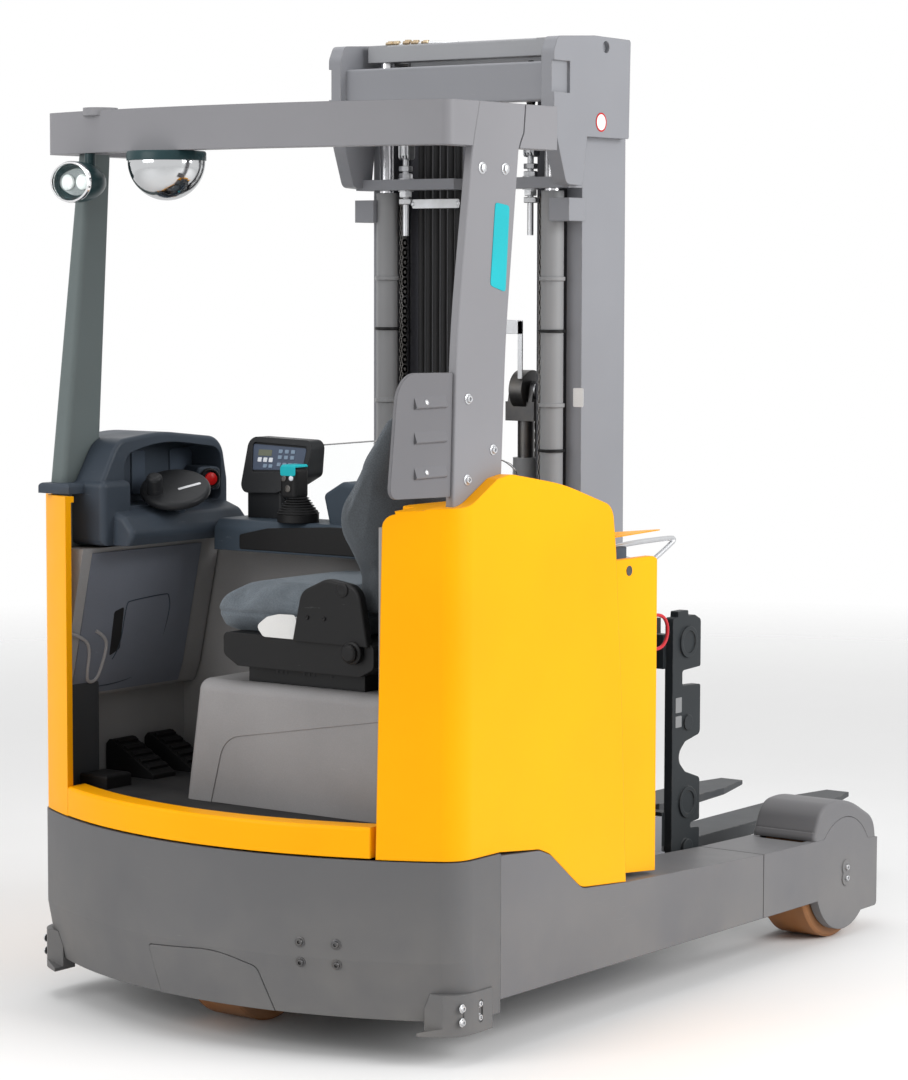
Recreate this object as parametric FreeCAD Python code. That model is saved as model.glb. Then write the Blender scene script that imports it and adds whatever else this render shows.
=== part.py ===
import FreeCAD, Part
import math
import os

# Reach truck, modelled piece by piece in millimetres.
# Working frame: X points to the fork tips, Y to the truck's left, Z up, ground at Z = 0, and X = 0 at the
# rear corners of the overhead guard. save() shifts every piece so that the origin ends up on the ground in
# the middle of the truck's length.

# ---------------------------------------------------------------- whole truck
truck_width = 1290.0
half_width = truck_width / 2
tail_x = -129.0                 # rearmost point of the bowed skirt
fork_tip_x = 2629.0
middle_x = (tail_x + fork_tip_x) / 2
drive_x = 180.0
load_axle_x = 1838.0
right_wall_y = -(half_width - 187.0)    # inner face of the compartment's right wall
cover_tail_z = 1262.0                   # top of the yellow covers at the rear

# ---------------------------------------------------------------- clearances
running_gap = 0.05              # radial, between a pin and its bore
seat_gap = 0.3                  # between a piece and the part that it slides or rests on
skin_gap = 0.5                  # between neighbouring panels
loose_gap = 1.0                 # round a post that passes through a panel
seam_gap = 3.0                  # visible seam between painted panels
moving_gap = 6.0                # between parts that pass each other

# ---------------------------------------------------------------- steel skirt round the drive end
tail_radius = 1180.0
corner_radius = 80.0
skirt_top = 472.0
skirt_crease = 240.0
skirt_bottom = 100.0
skirt_tuck = 34.0
skirt_wall = 14.0
skirt_end_x = 218.0
flap_left_y = 140.0
flap_right_y = -225.0
flap_lean = 42.0                # how far the flap's right edge leans
flap_lap = 12.0                 # of the backing plate behind the skirt
bracket_proud = 4.0
bracket_low = 72.0
bracket_high = 168.0
bracket_rear_x = 38.0
bracket_front_x = 182.0
bracket_reach = 85.0            # of its foot round the corner, across the truck
bracket_toe = 8.0
slot_x = (62.0, 128.0)
slot_width = 16.0
slot_height = 52.0

# ---------------------------------------------------------------- deck plate, bulkhead and battery tray
deck_top = 402.0
deck_thick = 16.0
hub_rise = 12.0
hub_drop = 40.0
bulkhead_x = 574.0
bulkhead_thick = 14.0
bulkhead_low = 110.0
bulkhead_top = 880.0
cross_depth = 30.0
tray_z = 339.0
tray_thick = 14.0
tray_inset = 50.0
tray_lip = 8.0
tray_lip_height = 45.0

# ---------------------------------------------------------------- wheel arms and load wheels
arm_width = 195.0
arm_inner_y = half_width - arm_width
arm_bottom = 131.0
arm_end_x = 2025.0
arm_plate = 25.0
arm_foot_z = 60.0               # underside of the two cheeks beside the load wheel
arm_shoulder_z = 467.0
arm_low_z = 322.0               # top of the beam where the side cover ends
arm_front_z = 284.0             # top of the beam at the load wheel's cover
groove_x = 1407.0
groove_width = 4.0
groove_depth = 3.0
load_wheel_radius = 177.5
load_wheel_width = 135.0
load_axle_radius = 30.0
lobe_radius = 153.0
channel_bottom = 160.0
channel_height = 112.0
channel_depth = 62.0
channel_start_x = 620.0
channel_end_x = 1640.0
fender_top = 384.0
fender_wall = 8.0
fender_lap = 160.0              # rearwards of the axle
lock_radius = 21.0              # of the axle's figure-of-eight lock plate
lock_pitch = 30.0
lock_thick = 3.0

# ---------------------------------------------------------------- drive unit
drive_y = right_wall_y + 528.0
drive_wheel_radius = 171.5
drive_wheel_width = 140.0
drive_axle_radius = 28.0
turntable_radius = 120.0
turntable_thick = 12.0
spigot_radius = 60.0
cheek_thick = 40.0
cheek_half = 60.0
motor_radius = 92.0
motor_top = 690.0
drive_tread = 28.0
load_tread = 30.0
tyre_chamfer = 6.0

# ---------------------------------------------------------------- driver's compartment
floor_top = 535.0
floor_thick = 10.0
floor_inset = 62.0
front_wall_x = 550.0
wall_thick = 12.0
front_wall_top = cover_tail_z - 154.0
left_wall_top = cover_tail_z - 132.0
left_wall_y = half_width - 41.0
right_wall_top = 1230.0
entrance_left_y = half_width - 161.0
sill_top = 548.0
sill_depth = 57.0
knee_depth = 134.0              # of the knee panel's top, from the left wall
knee_low = 745.0
knee_rear_x = 26.0
knee_front_x = 540.0

# ---------------------------------------------------------------- yellow covers
cover_wall = 18.0
cover_lean = 14.0               # of the right cover's edge at the entrance
panel_lift = 3.0                # of the covers from the skirt's outline
cover_front_x = 730.0
cover_waist_z = 751.0
cover_peak_z = 1345.0
shoulder_z = 1276.0
left_peak_z = 1240.0
column_front_x = 62.0
cap_front_x = 8.0

# ---------------------------------------------------------------- overhead guard
guard_top = 2190.0
guard_depth = 101.0
guard_bottom = guard_top - guard_depth
guard_front_depth = 45.0
guard_half = half_width - 34.0
guard_rear_x = -23.0
guard_rear_radius = 2290.0
guard_corner = 26.0
guard_rail = 52.0
guard_side_end = 484.0
guard_front_x = 640.0
guard_front_half = 430.0
guard_bars = 9
guard_bar_pitch = 120.0
guard_bar_thick = 12.0
mirror_radius = 92.0
beacon_radius = 42.0
beacon_height = 7.0
pillar_outer_y = -guard_half
pillar_thick = 20.0
pillar_x = 75.0                 # rear edge of its foot
pillar_depth = 191.0
pillar_bend = 470.0             # of its two edges, below the roof
pillar_bolt_x = (pillar_x + 109.0, pillar_x + 199.0)
pillar_bolt_z = guard_top - 150.0
pillar_bolt_radius = 5.0
shield_thick = 8.0
shield_set = 8.0                # inwards from the pillar's face
post_rear_x = 32.0              # left pillar
post_lean_z = cover_tail_z + seam_gap
post_round = 14.0

# ---------------------------------------------------------------- battery
battery_rear_x = bulkhead_x + bulkhead_thick + 4.0
battery_front_x = 880.0
battery_half = half_width - 47.0
battery_top = 1084.0
battery_panel_rear_x = 700.0
battery_panel_front_x = 921.0
battery_panel_low = 323.0
battery_panel_top = 1110.0
battery_panel_thick = 20.0

# ---------------------------------------------------------------- seat and hood
hood_left_y = right_wall_y + 634.0
hood_rear_x = 78.0
hood_top = 832.0
hood_wall = 8.0
hood_round = 30.0
seat_x = 305.0
seat_half = 212.0
hood_lean = 22.0                # of its left side, outwards towards the floor
seat_front_y = hood_left_y - 41.0
seat_back_y = seat_front_y - 435.0
rail_top = hood_top + 40.0
seat_pan_z = 950.0
cushion_top = 1068.0
backrest_half = 192.0
backrest_top = 1488.0

# ---------------------------------------------------------------- dashboard, console and controls
dash_y = left_wall_y - 154.0
dash_low = left_wall_top + 5.0
dash_top = dash_low + 271.0
dash_rear_x = 70.0
ledge_reach = 80.0
console_rear_x = 400.0
console_top = front_wall_top + 78.0
console_right_y = right_wall_y + 223.0
armrest_top = console_top + 104.0
pod_right_y = dash_y - 316.0
pod_left_y = dash_y - 104.0
pod_top = console_top + 204.0
pod_rear_x = 470.0
pod_depth = 82.0
pod_lean = 36.0                 # of its face, forwards towards the top
stick_x = 440.0
stick_y = dash_y - 319.0
stick_radius = 52.0
grip_width = 54.0
pedal_x = (243.0, 388.0)
pedal_width = 84.0
pedal_heel = 11.0
pedal_rise = 92.0
screen_x = 556.0
screen_thick = 4.0
screen_top = front_wall_top + 294.0
steer_x = 300.0
steer_y = left_wall_y - 192.0
steer_z = dash_low + 127.0
steer_tilt = math.radians(27.4)
steer_turn = math.radians(36)   # of the tilt, from the truck's rear to its right
knob_place = (47.0, 30.0)       # across the tilt and down it, from the disc's middle
steer_radius = 88.0
steer_thick = 22.0

# ---------------------------------------------------------------- mast
mast_bottom = 120.0
mast_rear_x = 1009.0
mast_front_x = mast_rear_x + 198.0
mast_half = 331.0
mast_web = 16.0
mast_flange = 18.0
mast_lip = 46.0
outer_channel_top = 2340.0
mast_top = outer_channel_top + 58.0
head_plate = 39.0
head_half = mast_half + 23.0
head_rear_x = mast_rear_x - 162.0
head_front_x = mast_front_x - 14.0
head_low = outer_channel_top - 195.0
head_horn_low = outer_channel_top - 319.0
head_pocket = 8.0
beam_low = outer_channel_top - 110.0
beam_high = outer_channel_top - 12.0
anchor_bar_x = mast_rear_x - 70.0
anchor_bar_depth = 64.0
anchor_bar_low = outer_channel_top - 323.0
anchor_bar_thick = 28.0
anchor_bar_in = 19.0            # from the truck's middle
anchor_y = 198.0
anchor_x = mast_rear_x - 37.0
anchor_radius = 8.0
anchor_nut = 15.0
anchor_drop = 118.0
mid_out = mast_half - 28.0
mid_in = mid_out - 67.0
mid_rear_x = mast_rear_x + 25.0
mid_front_x = mast_front_x - 25.0
mid_flange = 14.0
mid_tie_z = 400.0
mid_tie_height = 60.0
mid_tie_thick = 10.0
inner_out = mid_in - 7.0
inner_in = inner_out - 53.0
inner_rear_x = mid_rear_x
inner_front_x = mast_front_x + 7.0
pad_height = 90.0
lift_cylinder_x = mast_rear_x - 31.0
lift_cylinder_y = mid_out - 41.0
lift_cylinder_radius = 29.0
lift_cylinder_low = mast_bottom + 60.0
lift_rod_radius = 20.0
lift_barrel_top = anchor_bar_low - moving_gap
clamp_top = anchor_bar_low - 25.0
clamp_height = 58.0
hose_radius = 9.0
hose_x = mast_rear_x - 12.0
hose_y = (44.0, 68.0, 92.0, 116.0, 140.0, 164.0)
hose_low = 760.0
chain_y = 221.0
chain_width = 12.0
chain_depth = 26.0
chain_low = 480.0
pivot_x = (mast_rear_x + mast_front_x) / 2
pivot_z = 200.0
pivot_radius = 30.0

# ---------------------------------------------------------------- reach carriage
cradle_in = mast_half + 21.0
cradle_plate = 24.0
cradle_rear_x = mast_rear_x - 109.0
cradle_front_x = mast_front_x + 78.0
cradle_low = 84.0
cradle_floor = 104.0
cradle_top = 400.0
reach_arm_out = arm_inner_y - 10.0
reach_arm_rear_x = 640.0
reach_arm_front_x = cradle_front_x - 35.0
reach_arm_low = 140.0
reach_arm_top = 300.0
reach_roller_x = (700.0, 980.0)
reach_pin_radius = 20.0
cradle_foot_depth = 60.0
cradle_foot_low = 265.0
cradle_foot_top = 385.0
cradle_foot_out = (cradle_in + cradle_plate + reach_arm_out) / 2

# ---------------------------------------------------------------- fork carriage, side shifter, forks
fork_lowering = 180.0           # travel below the pose at rest
upright_out = inner_in - 5.0
upright_thick = 23.0
upright_rear_x = mast_rear_x + 61.0
upright_low = 296.0
upright_top = 860.0
carriage_roller_z = (368.0, 766.0)
lift_bar_x = inner_front_x + 96.0
lift_bar_thick = 34.0
lift_bar_z = (300.0, 770.0)
lift_bar_height = 90.0
plate_half = 415.0
plate_thick = 24.0
plate_rear_x = lift_bar_x + 12.0
plate_front_x = plate_rear_x + 138.0
plate_low = 240.0
plate_top = 905.0
boss_radius = 42.0
boss_rise = 5.0
foot_roller_radius = 24.0
fork_bar_x = lift_bar_x + 78.0
fork_bar_thick = 40.0
fork_bar_z = (290.0, 790.0)
fork_bar_height = 100.0
slide_pad_half = 220.0
fork_face_x = fork_bar_x + 91.0
fork_thick = 44.0
fork_top = 253.0
fork_width = 140.0
fork_spread = 185.0
fork_heel = 60.0
fork_tip_thick = 14.0
fork_tip_half = 36.0
fork_taper = 170.0
side_shift = 75.0
free_rod_radius = 22.0
free_barrel_radius = 34.0
free_x = pivot_x + 4.0
free_y = -(upright_out - upright_thick - 24.0 - free_barrel_radius)
free_yoke_z = 1420.0
free_yoke_height = 50.0
free_barrel_top = free_yoke_z - fork_lowering / 2 - moving_gap
pulley_radius = 52.0
pulley_z = free_yoke_z + 80.0


# ---------------------------------------------------------------- helpers
def vec(x, y, z):
    return FreeCAD.Vector(x, y, z)


def box(low, high):
    size = [b - a for a, b in zip(low, high)]
    return Part.makeBox(size[0], size[1], size[2], vec(*low))


def rod(radius, start, end):
    axis = vec(*end) - vec(*start)
    return Part.makeCylinder(radius, axis.Length, vec(*start), axis)


def rod_y(radius, x, z, y_low, y_high):
    return rod(radius, (x, y_low, z), (x, y_high, z))


def rod_z(radius, x, y, z_low, z_high):
    return rod(radius, (x, y, z_low), (x, y, z_high))


def fuse(shapes):
    return shapes[0].multiFuse(shapes[1:]).removeSplitter()


def corner_arc(before, corner, after, radius):
    """Start, middle and end of the arc that rounds one corner of a flat outline."""
    into = [before[k] - corner[k] for k in (0, 1)]
    away = [after[k] - corner[k] for k in (0, 1)]
    into = [value / math.hypot(*into) for value in into]
    away = [value / math.hypot(*away) for value in away]
    half = math.acos(into[0] * away[0] + into[1] * away[1]) / 2
    reach = radius / math.tan(half)
    bisector = [into[k] + away[k] for k in (0, 1)]
    inward = (radius / math.sin(half) - radius) / math.hypot(*bisector)
    start = [corner[k] + into[k] * reach for k in (0, 1)]
    middle = [corner[k] + bisector[k] * inward for k in (0, 1)]
    end = [corner[k] + away[k] * reach for k in (0, 1)]
    return start, middle, end


def outline_wire(corners, place):
    """Closed wire through flat corners (a, b) or (a, b, radius), the radius rounding its corner.
    place(a, b) gives the point in space."""
    legs = []
    for i, corner in enumerate(corners):
        if len(corner) == 3:
            after = corners[(i + 1) % len(corners)]
            legs.append(corner_arc(corners[i - 1], corner, after, corner[2]))
        else:
            legs.append((corner, None, corner))
    edges = []
    for i, (start, middle, end) in enumerate(legs):
        if middle:
            edges.append(Part.Arc(place(*start), place(*middle), place(*end)).toShape())
        following = legs[(i + 1) % len(legs)][0]
        if math.dist(end, following) > running_gap:
            edges.append(Part.makeLine(place(*end), place(*following)))
    return Part.Wire(edges)


def prism_x(outline, x_low, x_high):
    """Extrude a (y, z) outline between two x values."""
    wire = outline_wire(outline, lambda y, z: vec(x_low, y, z))
    return Part.Face(wire).extrude(vec(x_high - x_low, 0, 0))


def prism_y(outline, y_low, y_high):
    """Extrude an (x, z) outline between two y values."""
    wire = outline_wire(outline, lambda x, z: vec(x, y_low, z))
    return Part.Face(wire).extrude(vec(0, y_high - y_low, 0))


def prism_z(outline, z_low, z_high):
    """Extrude an (x, y) outline between two z values."""
    wire = outline_wire(outline, lambda x, y: vec(x, y, z_low))
    return Part.Face(wire).extrude(vec(0, 0, z_high - z_low))


def rounded(shape, radius, chosen):
    """Fillet the edges whose bounding box passes the test."""
    return shape.makeFillet(radius, [edge for edge in shape.Edges if chosen(edge.BoundBox)])


def mirrored(shape):
    return shape.mirror(vec(0, 0, 0), vec(0, 1, 0))


def both_sides(shape):
    return [shape, mirrored(shape)]


def largest(shape):
    return sorted(shape.Solids, key=lambda solid: solid.Volume)[-1]


def save(name, shape):
    placed = shape.copy()
    placed.translate(vec(-middle_x, 0, 0))
    placed.exportStep("parts/" + name + ".step")


def tail_wire(inset, z, half=half_width, rear=tail_x, radius=tail_radius, corner=corner_radius,
              front=cover_front_x + 170):
    """Plan outline of the drive end: a bowed rear, two round corners and straight sides up to front."""
    half = half - inset
    rear = rear + inset
    radius = radius - inset
    corner = max(corner - inset, moving_gap)
    sine = (half - corner) / (radius - corner)
    centre_x = rear + radius
    join_x = centre_x - radius * math.sqrt(1 - sine * sine)
    join_y = radius * sine
    corner_x = join_x + corner * math.sqrt(1 - sine * sine)
    corner_y = half - corner
    turn = (math.asin(sine) + math.pi / 2) / 2
    mid_x = corner_x - corner * math.cos(turn)
    mid_y = corner_y + corner * math.sin(turn)
    edges = [
        Part.makeLine(vec(front, -half, z), vec(corner_x, -half, z)),
        Part.Arc(vec(corner_x, -half, z), vec(mid_x, -mid_y, z), vec(join_x, -join_y, z)).toShape(),
        Part.Arc(vec(join_x, -join_y, z), vec(rear, 0, z), vec(join_x, join_y, z)).toShape(),
        Part.Arc(vec(join_x, join_y, z), vec(mid_x, mid_y, z), vec(corner_x, half, z)).toShape(),
        Part.makeLine(vec(corner_x, half, z), vec(front, half, z)),
        Part.makeLine(vec(front, half, z), vec(front, -half, z)),
    ]
    return Part.Wire(edges)


def tail_block(inset, z_low, z_high, **shape):
    return Part.Face(tail_wire(inset, z_low, **shape)).extrude(vec(0, 0, z_high - z_low))


# ---------------------------------------------------------------- skirt, flap and corner plates
def skirt_solid(inset):
    upper = tail_block(inset, skirt_crease, skirt_top)
    foot = tail_wire(inset, skirt_bottom, rear=tail_x + skirt_tuck)
    lower = Part.makeLoft([foot, tail_wire(inset, skirt_crease)], True, True)
    return fuse([upper, lower])


def flap_prism(grow):
    """The arched flap's outline run from rear to front, grown by a gap all round."""
    high = skirt_crease - 6 + grow
    left = flap_left_y + grow
    right = flap_right_y - grow
    low = skirt_bottom - 40
    outline = [(right, low), (right + flap_lean, high - 30, 22), (flap_left_y - 215, high, 300),
               (left, high - 16, 10), (left - 24, low)]
    return prism_x(outline, tail_x - corner_radius, tail_x + 2 * corner_radius)


def make_skirt():
    shell = skirt_solid(0).cut(skirt_solid(skirt_wall))
    keep = box((tail_x - corner_radius, -truck_width, 0), (skirt_end_x, truck_width, skirt_top + loose_gap))
    return shell.common(keep).cut(flap_prism(skin_gap * 3))


def make_flap():
    behind = skirt_wall + seat_gap
    shell = skirt_solid(-loose_gap).cut(skirt_solid(behind)).common(flap_prism(0))
    backing = skirt_solid(behind).cut(skirt_solid(skirt_wall + moving_gap)).common(flap_prism(flap_lap))
    return fuse([shell, backing])


def make_brackets():
    """Slotted wear plates under the two rear corners."""
    block = tail_block(-bracket_proud, bracket_low, bracket_high)
    block = block.cut(skirt_solid(0)).cut(tail_block(skirt_tuck + 26, bracket_low, bracket_high))
    side = box((bracket_rear_x, half_width - bracket_reach, 0),
               (bracket_front_x, truck_width, bracket_high))
    toe_y = half_width - bracket_reach
    toe = prism_x([(toe_y, bracket_low), (truck_width, bracket_low), (truck_width, skirt_bottom),
                   (half_width, skirt_bottom), (toe_y, bracket_low + bracket_toe)], 0, bracket_rear_x + 1)
    bracket = largest(block.common(fuse([side, toe])))
    slot_low = (bracket_low + bracket_high - slot_height) / 2
    outer = half_width + bracket_proud
    for x in slot_x:
        far_x = x + slot_width
        slot_high = slot_low + slot_height
        slot = prism_y([(x, slot_low, 7), (far_x, slot_low, 7), (far_x, slot_high, 7), (x, slot_high, 7)],
                       outer - bracket_proud * 2, outer + loose_gap)
        bracket = bracket.cut(slot)
    return Part.makeCompound(both_sides(bracket))


# ---------------------------------------------------------------- deck, bulkhead, battery tray
def make_frame():
    """Deck plate over the drive unit, bulkhead, battery tray and cross member: the chassis's backbone."""
    deck = tail_block(skirt_wall, deck_top - deck_thick, deck_top, front=bulkhead_x + seam_gap)
    arm_room = box((skirt_end_x, arm_inner_y - skin_gap, 0),
                   (bulkhead_x + cross_depth, truck_width, guard_top))
    for room in both_sides(arm_room):
        deck = deck.cut(room)
    hub = rod_z(turntable_radius + 30, drive_x, drive_y, deck_top - hub_drop, deck_top + hub_rise)
    bulkhead = box((bulkhead_x, -arm_inner_y, bulkhead_low),
                   (bulkhead_x + bulkhead_thick, arm_inner_y, bulkhead_top))
    tray_half = half_width - tray_inset
    tray_front_x = battery_front_x + 10
    tray = box((bulkhead_x, -tray_half, tray_z), (tray_front_x, tray_half, tray_z + tray_thick))
    lip = box((tray_front_x - tray_lip, -arm_inner_y + 5, tray_z),
              (tray_front_x, arm_inner_y - 5, tray_z + tray_lip_height))
    cross = box((bulkhead_x, -arm_inner_y, bulkhead_low), (bulkhead_x + cross_depth, arm_inner_y,
                                                           tray_z + 5))
    frame = fuse([deck, hub, bulkhead, tray, lip, cross])
    return frame.cut(rod_z(spigot_radius + loose_gap, drive_x, drive_y, 0, bulkhead_top))


# ---------------------------------------------------------------- wheel arms
def beam_top():
    """(x, z) corners along the beam's upper edge, from the load wheel back to the skirt."""
    step = arm_low_z + 15
    return [(arm_end_x, arm_front_z - 33), (load_axle_x + 134, arm_front_z - 29),
            (load_axle_x, arm_front_z - 14),
            (load_axle_x - 112, arm_front_z), (groove_x, arm_front_z + 8), (1092, arm_low_z - 15),
            (752, arm_low_z, 300), (556, step, 70), (421, arm_shoulder_z - 28, 60),
            (378, arm_shoulder_z - 12),
            (skirt_end_x + skin_gap, arm_shoulder_z)]


def arm_outline():
    """(x, z) outline of the wheel arm's side, without the round lobe over the axle."""
    return [(skirt_end_x + skin_gap, arm_bottom), (load_axle_x - 130, arm_bottom - 10),
            (load_axle_x, arm_foot_z), (arm_end_x, arm_foot_z, 12)] + beam_top()


def make_arm():
    """Left wheel arm: a box beam, a roller channel in its inner face and a fork round the load wheel."""
    beam = prism_y(arm_outline(), arm_inner_y, half_width)
    lobe = rod_y(lobe_radius, load_axle_x, load_wheel_radius, arm_inner_y, half_width)
    arm = fuse([beam, lobe])
    wheel_room = box((channel_end_x + 10, arm_inner_y + arm_plate, 0),
                     (arm_end_x + loose_gap, half_width - arm_plate, guard_top))
    channel = box((channel_start_x, arm_inner_y, channel_bottom),
                  (channel_end_x, arm_inner_y + channel_depth, channel_bottom + channel_height))
    groove = box((groove_x, arm_inner_y, 0), (groove_x + groove_width, half_width, arm_shoulder_z))
    core = box((groove_x, arm_inner_y, 0),
               (groove_x + groove_width, half_width - groove_depth, arm_front_z + 8 - groove_depth))
    arm = arm.cut(wheel_room).cut(channel).cut(groove.cut(core))
    axle = rod_y(load_axle_radius, load_axle_x, load_wheel_radius, arm_inner_y + 2, half_width - 2)
    plate = fuse([rod_y(lock_radius, load_axle_x + 10, load_wheel_radius + side * lock_pitch / 2,
                        half_width - 2, half_width + lock_thick) for side in (1, -1)])
    return fuse([arm, axle, plate])


def fender_outline():
    """(x, z) outline of the round cover over the load wheel."""
    rear_x = load_axle_x - fender_lap
    return [(rear_x, arm_front_z - 34), (rear_x, arm_front_z + 10, 20),
            (rear_x + 42, fender_top - 8, 70), (load_axle_x + 18, fender_top, 300),
            (load_axle_x + 172, arm_front_z + 24, 70), (arm_end_x - 2, arm_front_z - 44)]


def make_fender():
    body = prism_y(fender_outline(), arm_inner_y, half_width)
    body = rounded(body, 12, lambda b: b.YLength < 1 and b.ZMax > arm_front_z + 20)
    inside_low = arm_inner_y + fender_wall
    inside_high = half_width - fender_wall
    inside_rear_x = load_axle_x - fender_lap + fender_wall
    room = rod_y(fender_top - load_wheel_radius - fender_wall, load_axle_x - 6, load_wheel_radius - 4,
                 inside_low, inside_high)
    hollow = fuse([
        room.common(box((inside_rear_x, inside_low, 0), (arm_end_x, inside_high, fender_top))),
        box((inside_rear_x, inside_low, bracket_low), (arm_end_x - 12, inside_high, arm_front_z - 22))])
    beam = prism_y(arm_outline(), arm_inner_y - loose_gap, half_width + loose_gap)
    lobe = rod_y(lobe_radius + loose_gap, load_axle_x, load_wheel_radius, arm_inner_y - loose_gap,
                 half_width + loose_gap)
    return largest(body.cut(hollow).cut(beam).cut(lobe))


# ---------------------------------------------------------------- yellow covers, sill and battery
def cover_foot():
    """(x, z) lower edge shared by both side covers: it follows the skirt and the arm with a narrow seam."""
    step = arm_low_z + 15 + seam_gap
    return [(tail_x - 11, skirt_top + seam_gap), (skirt_end_x + 1, skirt_top + seam_gap),
            (378, arm_shoulder_z - 12 + seam_gap), (421, arm_shoulder_z - 28 + seam_gap, 60),
            (556, step, 70),
            (cover_front_x + 22, arm_low_z + 1)]


def right_cover_outline(highest):
    """The right cover seen from its side, its top edge no higher than a limit."""
    top = [(cover_front_x, cover_waist_z), (cover_front_x - 31, cover_tail_z - 120),
           (cover_front_x - 46, cover_peak_z - 98, 48), (cover_front_x - 260, cover_peak_z - 34, 900),
           (skirt_end_x + 40, cover_peak_z, 90), (skirt_end_x - 12, cover_peak_z - 8, 30),
           (100, cover_tail_z + 18, 120), (tail_x - 11, cover_tail_z)]
    lowered = [(c[0], min(c[1], highest)) for c in top]
    return cover_foot() + (top if highest > cover_peak_z else lowered)


def left_cover_outline():
    return cover_foot() + [(cover_front_x, cover_waist_z), (cover_front_x - 26, left_peak_z - 135),
                           (cover_front_x - 70, left_peak_z - 118, 30), (400, left_peak_z - 44, 400),
                           (120, cover_tail_z - 6, 300), (tail_x - 11, cover_tail_z)]


def pillar_outline(grow):
    """The right pillar seen from its side: upright at the foot, swept forwards under the roof."""
    foot_z = skirt_top + seam_gap + 1
    foot_x = skirt_end_x - 6 + grow
    rear_x = pillar_x - grow
    front_x = pillar_x + pillar_depth + grow
    bend_z = guard_bottom - pillar_bend
    rear = [(rear_x, deck_top), (rear_x, shoulder_z - 3), (rear_x + 13, bend_z + 50, 2400),
            (rear_x + 74, guard_bottom + 6, 500), (rear_x + 99, guard_top)]
    front = [(front_x + 91, guard_top), (front_x + 84, guard_bottom + 35, 20),
             (front_x + 66, guard_bottom + 4, 60),
             (front_x + 17, bend_z + 40, 2400), (front_x, shoulder_z + 57, 400), (front_x, foot_z),
             (foot_x, foot_z), (foot_x, deck_top)]
    return rear + front


def cover_block(drop, forward, inner):
    """The right cover's envelope: high in front of the pillar, at shoulder height inside it."""
    step_y = pillar_outer_y + 40
    outer = prism_y(right_cover_outline(guard_top), -truck_width, step_y)
    low = prism_y(right_cover_outline(shoulder_z), step_y, inner)
    both = fuse([outer, low])
    both.translate(vec(forward, 0, -drop))
    return both


def make_right_cover():
    inner_y = right_wall_y - wall_thick - skin_gap
    body = cover_block(0, 0, inner_y).common(tail_block(panel_lift, battery_panel_low - 20, guard_top))
    hollow = fuse([cover_block(cover_wall, 0, inner_y + 1), cover_block(cover_wall, cover_wall * 3,
                                                                        inner_y + 1)])
    hollow = hollow.common(tail_block(panel_lift + cover_wall, deck_top / 2, guard_top))
    opening = prism_y(pillar_outline(skin_gap), pillar_outer_y - skin_gap,
                      pillar_outer_y + pillar_thick + skin_gap)
    edge_y = inner_y - cover_lean
    near_y = inner_y + cover_lean
    edge = prism_x([(inner_y, skirt_top), (edge_y, cover_tail_z - 4, 32),
                    (edge_y - cover_lean * 2, cover_tail_z + 1), (edge_y, cover_peak_z),
                    (near_y, cover_peak_z), (near_y, skirt_top)],
                   tail_x - 1, pillar_x)
    return largest(body.cut(hollow).cut(opening).cut(edge))


def make_left_cover():
    body = prism_y(left_cover_outline(), entrance_left_y, truck_width)
    body = body.common(tail_block(panel_lift, battery_panel_low - 20, guard_top))
    body = body.cut(box((column_front_x, 0, 0), (cover_front_x + 70, left_wall_y + wall_thick + skin_gap,
                                                 guard_top)))
    hollow = tail_block(panel_lift + cover_wall, deck_top / 2, guard_top)
    cap = fuse([box((tail_x - 1, 0, cover_tail_z - cover_wall), (cap_front_x, truck_width, guard_top)),
                box((tail_x - 1, left_wall_y, cover_tail_z - cover_wall),
                    (column_front_x, truck_width, guard_top))])
    return largest(body.cut(hollow.cut(cap)).cut(left_pillar(loose_gap)))


def make_sill():
    ring = tail_block(panel_lift, skirt_top + seam_gap + 2, sill_top)
    ring = rounded(ring, 8, lambda b: b.ZMin > sill_top - 1)
    ring = ring.cut(tail_block(panel_lift + sill_depth, skirt_top, sill_top + loose_gap))
    keep = box((tail_x, right_wall_y + skin_gap, deck_top), (drive_x, entrance_left_y - skin_gap,
                                                             guard_top))
    return ring.common(keep)


def make_battery():
    return box((battery_rear_x, -battery_half, tray_z + tray_thick),
               (battery_front_x, battery_half, battery_top))


def make_battery_panel():
    y_low = battery_half + skin_gap
    outline = [(battery_panel_rear_x, battery_panel_low + 22), (battery_panel_front_x, battery_panel_low),
               (battery_panel_front_x, battery_panel_top - 8, 7),
               (battery_panel_front_x - 21, battery_panel_top, 15),
               (battery_panel_rear_x + 12, battery_panel_top, 6)]
    return prism_y(outline, y_low, y_low + battery_panel_thick)


# ---------------------------------------------------------------- floor, lining and pedals
def make_floor():
    plate = tail_block(floor_inset, floor_top - floor_thick, floor_top, front=front_wall_x)
    keep = box((tail_x, right_wall_y + skin_gap, deck_top), (front_wall_x, left_wall_y - skin_gap,
                                                             sill_top))
    hole = rod_z(motor_radius + 12, drive_x, drive_y, deck_top, sill_top)
    legs = [box((x, y, deck_top), (x + 40, y + 40, floor_top - floor_thick))
            for x in (20, front_wall_x - 70) for y in (right_wall_y + 38, entrance_left_y - 104)]
    return fuse([plate.common(keep).cut(hole).cut(left_pillar(loose_gap))] + legs)


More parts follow.
